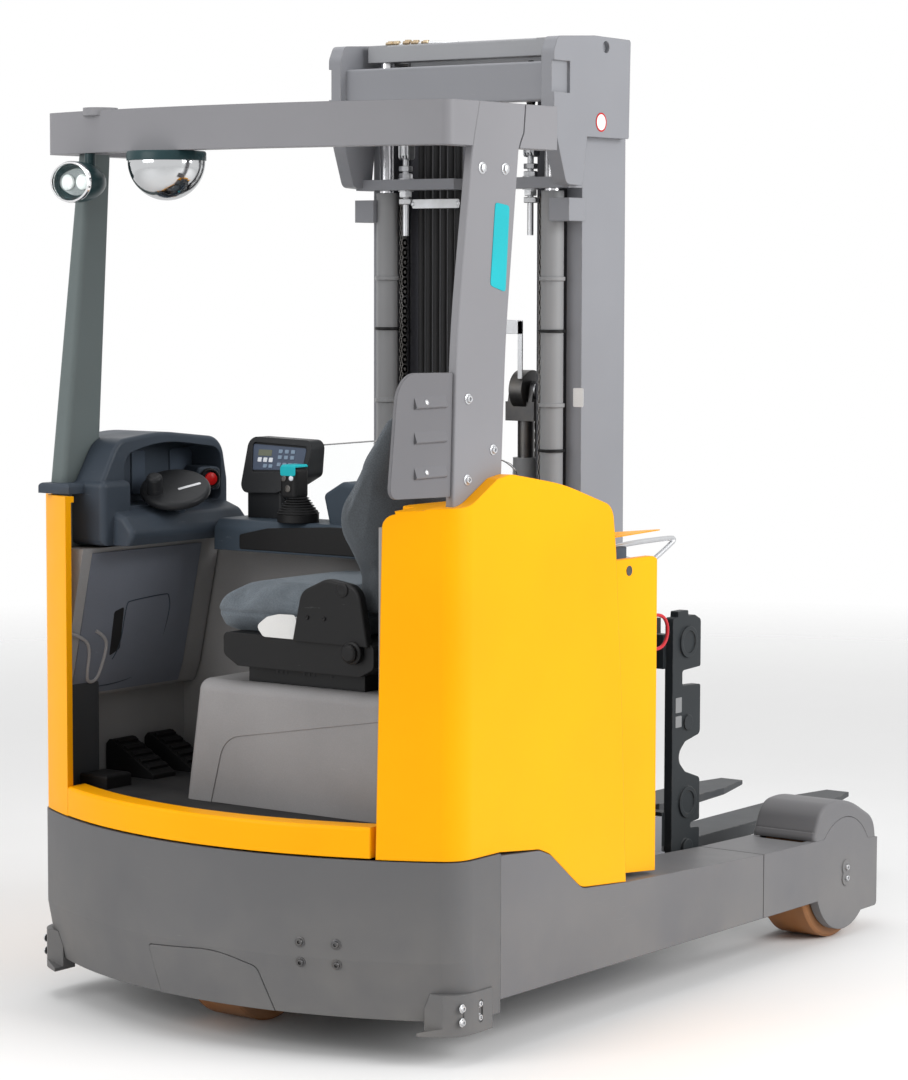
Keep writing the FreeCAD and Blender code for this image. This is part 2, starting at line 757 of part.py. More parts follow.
def make_lining():
    """Front, left and right walls of the compartment with the knee panel and its pocket."""
    low = floor_top - floor_thick
    wall_end_x = front_wall_x + wall_thick
    front = box((front_wall_x, right_wall_y - wall_thick, low),
                (wall_end_x, left_wall_y + wall_thick, front_wall_top))
    left = box((knee_rear_x, left_wall_y, low), (wall_end_x, left_wall_y + wall_thick, left_wall_top))
    right = box((0, right_wall_y - wall_thick, low), (wall_end_x, right_wall_y, right_wall_top))
    knee_y = left_wall_y - knee_depth
    knee = prism_x([(left_wall_y + 1, knee_low), (left_wall_y - 44, knee_low, 14),
                    (left_wall_y - 64, knee_low + 55, 60),
                    (knee_y, left_wall_top - 2), (left_wall_y + 1, left_wall_top - 2)], knee_rear_x,
                   knee_front_x)
    slot = box((knee_rear_x + 200, knee_y - 40, knee_low + 130),
               (knee_front_x - 90, left_wall_y - 60, knee_low + 250))
    inside = tail_block(panel_lift + cover_wall + skin_gap, low, cover_tail_z, front=battery_front_x)
    left = fuse([left, knee.cut(slot)]).common(inside).cut(left_pillar(loose_gap))
    return fuse([front, left, right])


def make_pedals():
    """Two hinged pedals with tread ribs, and the foot switch beside them."""
    heel_y = left_wall_y - 164
    toe_y = left_wall_y - 19
    slope = (pedal_rise - pedal_heel) / (toe_y - heel_y)
    pads = []
    for x in pedal_x:
        pad = prism_x([(heel_y, floor_top), (heel_y, floor_top + pedal_heel, 4),
                       (toe_y, floor_top + pedal_rise, 8), (toe_y + 13, floor_top + pedal_rise - 14),
                       (toe_y + 13, floor_top)], x, x + pedal_width)
        for i in range(5):
            y = heel_y + 20 + i * 25
            z = floor_top + pedal_heel + slope * (y - heel_y) - 2
            rib = prism_x([(y, z), (y + 12, z + 12 * slope), (y + 9, z + 12 * slope + 8), (y - 3, z + 8)],
                          x + 7, x + pedal_width - 7)
            pad = fuse([pad, rib])
        pads.append(pad)
    switch = box((60, heel_y - 10, floor_top), (150, heel_y + 80, floor_top + 34))
    pads.append(rounded(switch, 8, lambda b: b.ZMin > floor_top + 24))
    return Part.makeCompound(pads)


# ---------------------------------------------------------------- dashboard, console and controls
def steer_axis():
    """Direction of the steering axis, leaning back and to the driver."""
    lean = math.sin(steer_tilt)
    return vec(-lean * math.cos(steer_turn), -lean * math.sin(steer_turn), math.cos(steer_tilt))


def make_dashboard():
    """Hooded instrument binnacle on the left wall, its steering ledge, column and rear end box."""
    right_x = front_wall_x - skin_gap * 2
    outline = [(dash_rear_x, dash_low, 12), (dash_rear_x, dash_top - 122, 40),
               (dash_rear_x + 62, dash_top - 14, 60),
               (dash_rear_x + 225, dash_top + 2, 500), (right_x - 22, dash_top - 22, 60),
               (right_x, dash_top - 130, 60),
               (right_x, dash_low + 45), (right_x - 14, dash_low)]
    body = prism_y(outline, dash_y, left_wall_y + wall_thick)
    body = rounded(body, 10, lambda b: b.YLength < 1 and b.YMax < dash_y + 1 and b.ZMin > dash_low + 100)
    recess = prism_y([(dash_rear_x + 84, dash_low + 92, 20), (dash_rear_x + 84, dash_top - 52, 45),
                      (dash_rear_x + 225, dash_top - 19, 500), (right_x - 26, dash_top - 48, 40),
                      (right_x - 30, dash_low + 92, 20)], dash_y - 10, left_wall_y - 54)
    ledge = prism_x([(dash_y + 5, dash_low), (dash_y + 5, dash_low + 88), (dash_y - 45, dash_low + 70, 30),
                     (dash_y - ledge_reach, dash_low + 30, 22), (dash_y - 60, dash_low)],
                    dash_rear_x + 30, right_x)
    ledge = rounded(ledge, 14, lambda b: b.XLength < 1 and b.YMax < dash_y - 10 and b.ZMin > dash_low + 5)
    end_box = box((dash_rear_x - 6, dash_y - 12, dash_low), (dash_rear_x + 92, left_wall_y - 58,
                                                             dash_low + 158))
    end_box = rounded(end_box, 16, lambda b: b.YMin < dash_y - 11 and
                      (b.ZMin > dash_low + 150 or b.XMax < dash_rear_x))
    cap = box((dash_rear_x - 62, entrance_left_y + 16, cover_tail_z + skin_gap),
              (dash_rear_x + 4, left_wall_y - 2, cover_tail_z + 26))
    cap = rounded(cap, 10, lambda b: b.ZMin > cover_tail_z + 20)
    axis = steer_axis()
    column = Part.makeCylinder(24, 90, vec(steer_x, steer_y, steer_z) - axis * 125, axis)
    return fuse([body.cut(recess), ledge, end_box, cap, column]).cut(left_pillar(loose_gap))


def make_console():
    """Ledge along the front wall with a raised armrest beside the seat."""
    low = front_wall_top + skin_gap
    right_x = front_wall_x - skin_gap
    shelf = prism_y([(console_rear_x, low), (console_rear_x, console_top - 22, 18),
                     (console_rear_x + 20, console_top, 12),
                     (right_x, console_top), (right_x, low)], console_right_y,
                    dash_y - ledge_reach - skin_gap)
    rest = prism_x([(console_right_y + 35, console_top - 1), (console_right_y + 35, armrest_top - 32, 20),
                    (stick_y - 122, armrest_top, 18), (stick_y - 62, armrest_top - 34, 14),
                    (stick_y - 80, console_top - 1)], console_rear_x + 58, right_x - 12)
    rest = rounded(rest, 12, lambda b: b.XLength < 1 and b.ZMin > console_top + 5)
    return fuse([shelf, rest])


def make_pod():
    """Display pod: a tilted rounded head with a sunk screen on a narrow body."""
    low = console_top + seat_gap
    chin = low + 62
    body = box((pod_rear_x + 18, pod_right_y + 88, low), (pod_rear_x + 76, pod_left_y - 8, chin + 30))
    body = rounded(body, 10, lambda b: b.ZLength > 50)
    outline = [(pod_right_y + 8, chin + 48, 18), (pod_right_y, pod_top - 5, 22),
               (pod_left_y - 4, pod_top, 26),
               (pod_left_y, chin, 26), (pod_right_y + 90, chin + 4, 60)]
    case = prism_x(outline, pod_rear_x, pod_rear_x + pod_depth)

    def slope(depth):
        """What lies behind the head's tilted face, sunk by a depth."""
        return prism_y([(pod_rear_x - 1, chin - 1), (pod_rear_x + depth, chin - 1),
                        (pod_rear_x + pod_lean + depth, pod_top + 1), (pod_rear_x - 1, pod_top + 1)],
                       pod_right_y - 1, pod_left_y + 1)
    sunk = prism_x([(pod_right_y + 20, chin + 58, 8), (pod_right_y + 16, pod_top - 20, 8),
                    (pod_left_y - 18, pod_top - 14, 8), (pod_left_y - 30, chin + 52, 8)],
                   pod_rear_x - 1, pod_rear_x + pod_depth)
    return fuse([case.cut(slope(0)), body]).cut(sunk.common(slope(6)))


def make_joystick():
    """Bellows on a low plinth, a stem and a square grip."""
    low = console_top + skin_gap
    plinth = rod_z(stick_radius, stick_x, stick_y, low, low + 20)
    folds = [rod_z(stick_radius - 2 - 6 * i, stick_x, stick_y, low + 19 + 7 * i,
                   low + 27 + 7 * i) for i in range(4)]
    stem = rod_z(12, stick_x, stick_y, low + 40, low + 62)
    half = grip_width / 2
    grip_y = stick_y + 12
    grip = box((stick_x - half, grip_y - half, low + 56), (stick_x + half, grip_y + half, low + 137))
    grip = rounded(grip, 12, lambda b: True)
    return fuse([plinth] + folds + [stem, grip])


def make_screen():
    """Low clear screen on the front wall between the driver and the mast."""
    low = front_wall_top + skin_gap
    outline = [(console_right_y - 215, low), (console_right_y - 215, screen_top - 58, 40),
               (console_right_y + 60, screen_top, 600), (dash_y - 110, screen_top - 48, 40),
               (dash_y - 110, low)]
    return prism_x(outline, screen_x, screen_x + screen_thick)


def make_steering_wheel():
    axis = steer_axis()
    centre = vec(steer_x, steer_y, steer_z)
    disc = Part.makeCylinder(steer_radius, steer_thick, centre - axis * (steer_thick / 2), axis)
    disc = disc.makeFillet(steer_thick / 2 - 1, disc.Edges)
    hub = Part.makeCylinder(26, 24, centre - axis * 34, axis)
    across = vec(-math.sin(steer_turn), math.cos(steer_turn), 0)
    along = axis.cross(across)
    knob_foot = centre + axis * 8 + across * knob_place[0] + along * knob_place[1]
    knob = Part.makeCylinder(20, 52, knob_foot, axis)
    knob = rounded(knob, 9, lambda b: b.ZMax > knob_foot.z + 45 and b.XLength > 30)
    return fuse([disc, hub, knob])


# ---------------------------------------------------------------- seat and its hood
def make_hood():
    """Hollow hood under the seat, with a leaning left side and a sunk panel in its rear face."""
    front_x = front_wall_x - skin_gap
    right_y = right_wall_y + skin_gap

    def block(wall):
        outline = [(right_y + wall, floor_top), (right_y + wall, hood_top - wall),
                   (hood_left_y - hood_lean - wall, hood_top - wall),
                   (hood_left_y + hood_lean - wall, floor_top)]
        return prism_x(outline, hood_rear_x + wall, front_x - wall)
    outer = rounded(block(0), hood_round, lambda b: b.ZMin > floor_top + 1 or
                    (b.ZLength > 100 and b.YMin > drive_y + hood_round and b.XMax < drive_x))
    inner = rounded(block(hood_wall), hood_round - hood_wall, lambda b: b.ZMin > floor_top + 1)
    panel = prism_x([(right_wall_y, floor_top - 1), (right_wall_y, hood_top - 50),
                     (hood_left_y - 108, hood_top - 138, 70), (hood_left_y - 66, floor_top - 1)],
                    hood_rear_x - 1, hood_rear_x + 2)
    return outer.cut(inner).cut(panel)


def make_seat_base():
    """Slide rails, the sprung pan and the two recliner covers beside the cushion."""
    front_y = seat_front_y - 66
    rails = box((seat_x - seat_half + 22, seat_back_y - 30, hood_top),
                (seat_x + seat_half - 22, front_y - 50, rail_top))
    pan = prism_x([(front_y - 44, rail_top - 1), (front_y, rail_top + 24, 18), (front_y, seat_pan_z, 14),
                   (seat_back_y - 82, seat_pan_z, 16), (seat_back_y - 82, rail_top + 20, 16),
                   (seat_back_y - 40, rail_top - 1)], seat_x - seat_half - 13, seat_x + seat_half + 13)
    cover = prism_x([(seat_back_y + 152, seat_pan_z - 6), (seat_back_y + 126, seat_pan_z + 112, 40),
                     (seat_back_y + 50, seat_pan_z + 146, 50), (seat_back_y - 46, seat_pan_z + 132, 45),
                     (seat_back_y - 72, seat_pan_z - 6)], seat_x - seat_half - 24, seat_x - seat_half - 3)
    cover = rounded(cover, 7, lambda b: b.XMax < seat_x - seat_half - 23 and b.ZMin > seat_pan_z + 10)
    other = cover.mirror(vec(seat_x, 0, 0), vec(1, 0, 0))
    return fuse([rails, pan, cover, other])


def make_cushion():
    low = seat_pan_z + seat_gap
    outline = [(seat_front_y - 30, low), (seat_front_y, cushion_top - 72, 22),
               (seat_front_y - 26, cushion_top - 28, 40),
               (seat_front_y - 190, cushion_top, 400), (seat_back_y + 60, cushion_top, 120),
               (seat_back_y, cushion_top - 12, 20), (seat_back_y, low)]
    cushion = prism_x(outline, seat_x - seat_half, seat_x + seat_half)
    return rounded(cushion, 18, lambda b: b.XLength < 1 and b.ZMin > low + 20)


def make_backrest():
    low = seat_pan_z + 55
    face_y = seat_back_y - seat_gap
    outline = [(face_y, low), (face_y, cushion_top + 14), (face_y + 84, cushion_top + 164, 110),
               (face_y + 4, backrest_top - 118, 300), (face_y - 92, backrest_top, 26),
               (face_y - 128, backrest_top - 6, 20), (face_y - 112, cushion_top + 182, 200),
               (face_y - 84, low)]
    back = prism_x(outline, seat_x - backrest_half, seat_x + backrest_half)
    return rounded(back, 20, lambda b: b.XLength < 1 and b.YMax > face_y - 60 and b.ZMin > cushion_top + 20)


# ---------------------------------------------------------------- overhead guard
def guard_plan(inset):
    """(x, y) plan corners of the roof in front of its rear beam."""
    half = guard_half - inset
    front = guard_front_x - inset
    bend = 60.0
    return [(drive_x - 80, -half), (guard_side_end, -half, bend), (front, -guard_front_half, bend),
            (front, guard_front_half, bend), (guard_side_end, half, bend), (drive_x - 80, half)]


def make_roof():
    """Guard roof: a bowed rear beam, a lower front rail, lengthwise bars and the beacon's seat."""
    shape = dict(half=guard_half, rear=guard_rear_x, radius=guard_rear_radius, corner=guard_corner,
                 front=guard_side_end)
    body = fuse([tail_block(0, guard_bottom, guard_top, **shape),
                 prism_z(guard_plan(0), guard_top - guard_front_depth, guard_top)])
    hole = fuse([tail_block(guard_rail, guard_bottom, guard_top, **shape),
                 prism_z(guard_plan(guard_rail), guard_bottom, guard_top)])
    pieces = [body.cut(hole)]
    for i in range(guard_bars):
        y = (i - (guard_bars - 1) / 2) * guard_bar_pitch
        end_x = guard_front_x - 20 if abs(y) < guard_front_half else guard_side_end + 30
        pieces.append(box((guard_beam_x(y), y - guard_bar_thick / 2, guard_top - guard_front_depth - 3),
                          (end_x, y + guard_bar_thick / 2, guard_top - 4)))
    beacon_y = guard_half - 193
    pieces.append(rod_z(beacon_radius, guard_beam_x(beacon_y), beacon_y, guard_top - 12,
                        guard_top + beacon_height))
    slot = prism_y(pillar_outline(skin_gap), pillar_outer_y - 20, pillar_outer_y + pillar_thick + skin_gap)
    return largest(fuse(pieces).cut(slot))


def make_right_pillar():
    pillar = prism_y(pillar_outline(0), pillar_outer_y, pillar_outer_y + pillar_thick)
    pillar = rounded(pillar, 6, lambda b: b.YLength < 1 and b.YMax < pillar_outer_y + 1 and b.ZLength > 60
                     and b.ZMin > shoulder_z - 300 and b.ZMax < guard_top - 20)
    for x in pillar_bolt_x:
        pillar = pillar.cut(rod_y(pillar_bolt_radius, x, pillar_bolt_z, pillar_outer_y - 5,
                                  pillar_outer_y + pillar_thick + 5))
    return pillar


def left_pillar(grow):
    """The left pillar: upright up to the dashboard, then leaning inwards and forwards to the roof."""
    def section(x_low, x_high, y_low, y_high, z):
        corners = [(x_low - grow, y_low - grow, post_round), (x_high + grow, y_low - grow, post_round),
                   (x_high + grow, y_high + grow, post_round), (x_low - grow, y_high + grow, post_round)]
        return outline_wire(corners, lambda x, y: vec(x, y, z))
    foot = (post_rear_x, post_rear_x + 132, left_wall_y - 62, left_wall_y - 12)
    head = (post_rear_x + 34, post_rear_x + 114, guard_half - 135, guard_half - 93)
    upper = Part.makeLoft([section(*foot, post_lean_z), section(*head, guard_bottom - skin_gap)], True,
                          True)
    lower = Part.Face(section(*foot, deck_top)).extrude(vec(0, 0, post_lean_z - deck_top))
    inside = tail_block(panel_lift + cover_wall + loose_gap * 1.5 - grow, deck_top, post_lean_z)
    return fuse([upper, lower.common(inside)])


def make_shield():
    """Shoulder plate set against the right pillar, with two tabs and three pressed louvres."""
    outer_y = pillar_outer_y + shield_set
    inner_y = outer_y + shield_thick
    behind_y = pillar_outer_y + pillar_thick + skin_gap
    low = shoulder_z + 24
    outline = [(pillar_x - 225, low + 7, 25), (pillar_x + 40, low), (pillar_x + 40, low + 280),
               (pillar_x - 192, low + 284, 72)]
    pieces = [prism_y(outline, outer_y, inner_y)]
    for z in (low + 61, low + 140, low + 217):
        louvre = prism_x([(outer_y + 1, z - 15), (pillar_outer_y, z - 12, 4), (outer_y + 1, z + 15)],
                         pillar_x - 135, pillar_x - 17)
        pieces.append(louvre)
    for z in (low + 43, low + 223):
        pieces.append(box((pillar_x - 40, inner_y - 1, z), (pillar_x + 60, behind_y + shield_thick,
                                                            z + 30)))
    return largest(fuse(pieces).cut(prism_y(pillar_outline(skin_gap), -truck_width, behind_y)))


def make_mirror():
    """Dome mirror: part of a ball under a flat bracket."""
    top = guard_bottom - skin_gap
    centre_y = guard_half - 414
    centre_x = guard_beam_x(centre_y) + 18
    ball = Part.makeSphere(mirror_radius, vec(centre_x, centre_y, top - 24))
    keep = box((centre_x - mirror_radius, centre_y - mirror_radius, top - 2 * mirror_radius),
               (centre_x + mirror_radius, centre_y + mirror_radius, top - 3))
    plate = box((centre_x - 50, centre_y - 60, top - 4), (centre_x + 50, centre_y + 60, top))
    return fuse([ball.common(keep), plate])


def guard_beam_x(y):
    """Middle of the bowed rear beam at a place across the truck."""
    bow = guard_rear_radius - math.sqrt(guard_rear_radius ** 2 - y ** 2)
    return guard_rear_x + bow + guard_rail / 2


def make_lamp():
    """Oval work lamp on a short neck under the rear beam."""
    lamp_y = guard_half - 166
    neck_x = guard_beam_x(lamp_y) - 14

    def oval(x, half_y, half_z):
        ellipse = Part.Ellipse(vec(0, half_y, 0), vec(0, 0, half_z), vec(0, 0, 0))
        wire = Part.Wire(ellipse.toShape())
        wire.translate(vec(neck_x + x, lamp_y, guard_bottom - 70))
        return wire
    case = Part.makeLoft([oval(-66, 64, 49), oval(-28, 62, 47), oval(14, 40, 32)], True)
    bowl = Part.makeLoft([oval(-67, 57, 42), oval(-46, 44, 30)], True)
    neck = rod_z(13, neck_x, lamp_y, guard_bottom - 62, guard_bottom - skin_gap)
    return fuse([case.cut(bowl), neck])


# ---------------------------------------------------------------- drive unit and wheels
def make_motor():
    return rod_z(motor_radius, drive_x, drive_y, deck_top + hub_rise + skin_gap, motor_top)


def make_drive_unit():
    top = deck_top - hub_drop - loose_gap
    cheek_y = drive_y + drive_wheel_width / 2 + moving_gap
    return fuse([
        rod_z(turntable_radius, drive_x, drive_y, top - turntable_thick, top),
        rod_z(spigot_radius, drive_x, drive_y, top - turntable_thick / 2, deck_top + 8),
        box((drive_x - cheek_half, cheek_y, skirt_bottom), (drive_x + cheek_half, cheek_y + cheek_thick,
                                                            top - 1)),
        rod_y(spigot_radius, drive_x, drive_wheel_radius, cheek_y, cheek_y + cheek_thick + moving_gap),
        rod_y(drive_axle_radius, drive_x, drive_wheel_radius, drive_y - drive_wheel_width / 2,
              cheek_y + 10)])


def wheel_parts(centre_x, centre_y, radius, width, bore, tread):
    """Hub and bonded tyre of one wheel, axis along Y."""
    ends = (centre_x, radius, centre_y - width / 2, centre_y + width / 2)
    tyre = rod_y(radius, *ends)
    tyre = tyre.makeChamfer(tyre_chamfer, [edge for edge in tyre.Edges if edge.BoundBox.YLength < 1])
    hub = rod_y(radius - tread, *ends)
    dish = rod_y((radius - tread) * 0.78, centre_x, radius, centre_y + width / 2 - 12,
                 centre_y + width / 2 + 1)
    boss = rod_y(bore + 26, centre_x, radius, centre_y + width / 2 - 13, centre_y + width / 2)
    tyre = tyre.cut(hub)
    hub = fuse([hub.cut(dish), boss]).cut(rod_y(bore + running_gap, *ends))
    return hub, tyre


# ---------------------------------------------------------------- mast
def channel(out_y, in_y, rear, front, high):
    """Left mast channel: web outside, flanges turned inwards."""
    low = mast_bottom if out_y == mast_half else mast_bottom + 20
    return fuse([box((rear, out_y - mast_web, low), (front, out_y, high)),
                 box((rear, in_y, low), (rear + mast_flange, out_y, high)),
                 box((front - mast_flange, in_y, low), (front, out_y, high))])


def head_outline():
    """(x, z) outline of the plates at the head of the outer mast."""
    top = mast_top
    return [(head_rear_x, top - 45, 30), (head_rear_x + 18, top - 10, 20), (head_rear_x + 180, top),
            (head_front_x, top - 2, 8), (head_front_x - 6, head_low, 6), (mast_rear_x - 14, head_low),
            (mast_rear_x - 32, head_horn_low, 14), (mast_rear_x - 106, head_horn_low + 4, 22),
            (head_rear_x, outer_channel_top - 165, 350)]


def make_outer_mast():
    pieces = []
    pieces += both_sides(channel(mast_half, mast_half - mast_lip, mast_rear_x, mast_front_x,
                                 outer_channel_top))
    plate = prism_y(head_outline(), head_half - head_plate, head_half)
    hole = rod_y(15, mast_rear_x + 70, outer_channel_top + 32, head_half - 12, head_half + 1)
    pocket = box((head_rear_x - 1, head_half - head_pocket, beam_low + 20),
                 (head_rear_x + 70, head_half + 1, beam_high))
    pieces += both_sides(plate.cut(hole).cut(pocket))
    pieces += both_sides(rod_y(pivot_radius, pivot_x, pivot_z, mast_half - 10,
                               cradle_in + cradle_plate - 1))
    beam_y = mast_half + 5
    beam = box((head_rear_x + 22, -beam_y, beam_low), (head_rear_x + 62, beam_y, beam_high))
    pieces.append(rounded(beam, 6, lambda b: b.YLength > mast_half))
    pieces.append(box((head_rear_x + 50, -beam_y, beam_high - 16), (mast_rear_x - 69, beam_y, beam_high)))
    bar_end_x = anchor_bar_x + anchor_bar_depth
    bar = box((anchor_bar_x, anchor_bar_in, anchor_bar_low),
              (bar_end_x, beam_y, anchor_bar_low + anchor_bar_thick))
    pieces += both_sides(bar)
    clamp = box((lift_cylinder_x - 40, lift_cylinder_y + 16, clamp_top - clamp_height),
                (mast_rear_x + 2, mast_half + 8, clamp_top))
    foot = box((lift_cylinder_x - 38, lift_cylinder_y - 34, mast_bottom + 30),
               (mast_rear_x + 5, mast_half, lift_cylinder_low))
    pieces += both_sides(clamp) + both_sides(foot)
    pieces.append(box((mast_rear_x, -mast_half + 5, mast_bottom + 10),
                      (mast_rear_x + 15, mast_half - 5, mast_bottom + 210)))
    mast = fuse(pieces)
    for side in (1, -1):
        y = side * lift_cylinder_y
        mast = mast.cut(rod_z(lift_cylinder_radius + running_gap, lift_cylinder_x, y, lift_cylinder_low + 1,
                              lift_barrel_top + 1))
        mast = mast.cut(rod_z(lift_rod_radius + moving_gap, lift_cylinder_x, y, anchor_bar_low - 1,
                              mast_top))
        mast = mast.cut(rod_z(anchor_radius + running_gap, anchor_x, side * anchor_y, anchor_bar_low - 1,
                              beam_low))
    for y in hose_y:
        mast = mast.cut(rod_z(hose_radius + running_gap, hose_x, y, anchor_bar_low - 1, beam_low))
    return mast


def make_cylinders():
    """Barrels of the two lift cylinders, with a band at the top and a gland ring."""
    low = lift_cylinder_low + skin_gap
    barrel = fuse([rod_z(lift_cylinder_radius, lift_cylinder_x, lift_cylinder_y, low, lift_barrel_top)]
                  + [rod_z(lift_cylinder_radius + 4, lift_cylinder_x, lift_cylinder_y, z, z + 10)
                     for z in (clamp_top - clamp_height - 150, clamp_top - clamp_height - 470)])
    bore = rod_z(lift_rod_radius + running_gap, lift_cylinder_x, lift_cylinder_y, low + 20, mast_top)
    return Part.makeCompound(both_sides(barrel.cut(bore)))


def make_anchors():
    """The four-nut chain anchors that hang through the cross bar."""
    high = anchor_bar_low + anchor_bar_thick
    nuts = [(high, high + 16), (high + 62, high + 92), (anchor_bar_low - 18, anchor_bar_low)]
    anchor = fuse([rod_z(anchor_radius, anchor_x, anchor_y, anchor_bar_low - anchor_drop, high + 92)]
                  + [rod_z(anchor_nut, anchor_x, anchor_y, a, b) for a, b in nuts])
    return Part.makeCompound(both_sides(anchor))


def make_chains():
    chain = box((anchor_x - chain_depth / 2 + 20, chain_y - chain_width / 2, chain_low),
                (anchor_x + chain_depth / 2 + 20, chain_y + chain_width / 2, anchor_bar_low - seat_gap))
    return Part.makeCompound(both_sides(chain))


def make_hoses():
    """Hydraulic hoses that run up behind the mast, left of its middle."""
    return Part.makeCompound([rod_z(hose_radius, hose_x, y, hose_low,
                                    beam_high - 16 - seat_gap) for y in hose_y])


def i_section(low, high):
    """Left rail of the middle mast: a web between two flanges."""
    middle = (mid_out + mid_in) / 2
    return fuse([box((mid_rear_x, middle - mast_web / 2, low), (mid_front_x, middle + mast_web / 2, high)),
                 box((mid_rear_x, mid_in, low), (mid_rear_x + mid_flange, mid_out, high)),
                 box((mid_front_x - mid_flange, mid_in, low), (mid_front_x, mid_out, high))])


def make_middle_mast():
    """Middle rails, their slide pads, the tie low down and the cap that the lift rods push."""
    pieces = []
    top = outer_channel_top + 52
    cap_low = outer_channel_top + 8
    pieces += both_sides(i_section(mast_bottom + 10, top))
    for z in (mast_bottom + 60, mast_bottom + 300):
        pieces += both_sides(box((mast_rear_x + mast_flange + seat_gap, mid_out - 14, z),
                                 (mid_rear_x + 1, mid_out, z + pad_height)))
        pieces += both_sides(box((mid_front_x - 1, mid_out - 14, z),
                                 (mast_front_x - mast_flange - seat_gap, mid_out, z + pad_height)))
    pieces += both_sides(box((mast_rear_x - 69, mid_in, cap_low), (mid_rear_x + 5, mid_out - 6, top)))
    cap = box((mast_rear_x - 69, -mid_out + 6, cap_low), (mast_rear_x - 19, mid_out - 6, top))
    pieces.append(rounded(cap, 5, lambda b: b.YLength > mast_half and b.ZMin > cap_low + 1))
    tie_out = mid_out - 26
    pieces += both_sides(box((mid_rear_x - 16, mid_in, mid_tie_z),
                             (mid_rear_x + 2, tie_out, mid_tie_z + mid_tie_height)))
    pieces.append(box((mid_rear_x - 16, -tie_out, mid_tie_z),
                      (mid_rear_x - 16 + mid_tie_thick, tie_out, mid_tie_z + mid_tie_height)))
    return fuse(pieces)


def make_lift_rods():
    rod_low = lift_cylinder_low + 30
    return Part.makeCompound(both_sides(
        rod_z(lift_rod_radius, lift_cylinder_x, lift_cylinder_y, rod_low, outer_channel_top + 8)))


def make_inner_mast():
    pieces = []
    top = outer_channel_top + 36
    foot = mast_bottom + 20
    pieces += both_sides(channel(inner_out, inner_in, inner_rear_x, inner_front_x, top))
    for z in (mast_bottom + 80, mast_bottom + 320):
        pieces += both_sides(box((mid_rear_x, inner_out - 1, z),
                                 (mid_rear_x + 14, mid_in - seat_gap, z + pad_height)))
    pieces.append(box((inner_rear_x, -inner_out, top - 76), (inner_rear_x + 16, inner_out, top)))
    pieces.append(box((inner_rear_x, -inner_out, foot), (inner_rear_x + 12, inner_out, foot + 90)))
    return fuse(pieces)


def make_free_barrel():
    """Barrel of the free-lift cylinder on the inner mast, with its hose bracket."""
    foot = mast_bottom + 20
    barrel = rod_z(free_barrel_radius, free_x, free_y, foot, free_barrel_top)
    base = box((inner_rear_x + 12, free_y - 40, foot), (free_x + 40, free_y + 40, foot + 10))
    bore = rod_z(free_rod_radius + running_gap, free_x, free_y, foot + 40, free_yoke_z)
    return fuse([barrel, base]).cut(bore)


def make_free_head():
    """Rod, yoke and chain pulley of the free lift."""
    yoke_top = free_yoke_z + free_yoke_height
    stem = rod_z(free_rod_radius, free_x, free_y, mast_bottom + 180, free_yoke_z + 20)
    yoke = box((free_x - 30, free_y - 45, free_yoke_z), (free_x + 30, free_y + 45, yoke_top))
    cheeks = [prism_y([(free_x - 30, yoke_top - 1), (free_x - 18, pulley_z + 24, 18),
                       (free_x + 18, pulley_z + 24, 18),
                       (free_x + 30, yoke_top - 1)], free_y + side * 32 - 6,
                      free_y + side * 32 + 6) for side in (1, -1)]
    pulley = fuse([rod_y(pulley_radius, free_x, pulley_z, free_y - 20, free_y + 20),
                   rod_y(12, free_x, pulley_z, free_y - 34, free_y + 34)])
    return fuse([stem, yoke, pulley] + cheeks)


# ---------------------------------------------------------------- reach carriage
def make_reach_carriage():
    """Cradle under the mast's foot, on two roller arms that run in the wheel arms' channels."""
    outline = [(cradle_rear_x, cradle_floor - 4), (cradle_front_x, cradle_floor - 4),
               (cradle_front_x, cradle_top, 20),
               (cradle_rear_x + 60, cradle_top, 20), (cradle_rear_x + 40, reach_arm_top),
               (cradle_rear_x, reach_arm_top)]
    plate = prism_y(outline, cradle_in, cradle_in + cradle_plate)
    arm = box((reach_arm_rear_x, cradle_in + cradle_plate / 2, reach_arm_low),
              (reach_arm_front_x, reach_arm_out, reach_arm_top))
    foot = box((cradle_front_x - cradle_foot_depth, cradle_in, cradle_foot_low),
               (cradle_front_x, cradle_foot_out, cradle_foot_top))
    side = fuse([plate, arm, foot])
    roller_z = channel_bottom + channel_height / 2
    out_y = arm_inner_y + channel_depth - 4
    for x in reach_roller_x:
        side = fuse([side, rod_y(reach_pin_radius, x, roller_z, reach_arm_out - 5, out_y),
                     rod_y(channel_height / 2 - seat_gap, x, roller_z, arm_inner_y + moving_gap, out_y)])
    pieces = both_sides(side.cut(rod_y(pivot_radius + running_gap, pivot_x, pivot_z, 0, arm_inner_y)))
    inner = cradle_in + 5
    pieces.append(box((cradle_rear_x, -inner, cradle_low), (cradle_front_x - 45, inner, cradle_floor)))
    pieces.append(box((cradle_rear_x, -inner, cradle_low), (cradle_rear_x + 20, inner, reach_arm_top)))
    return fuse(pieces)


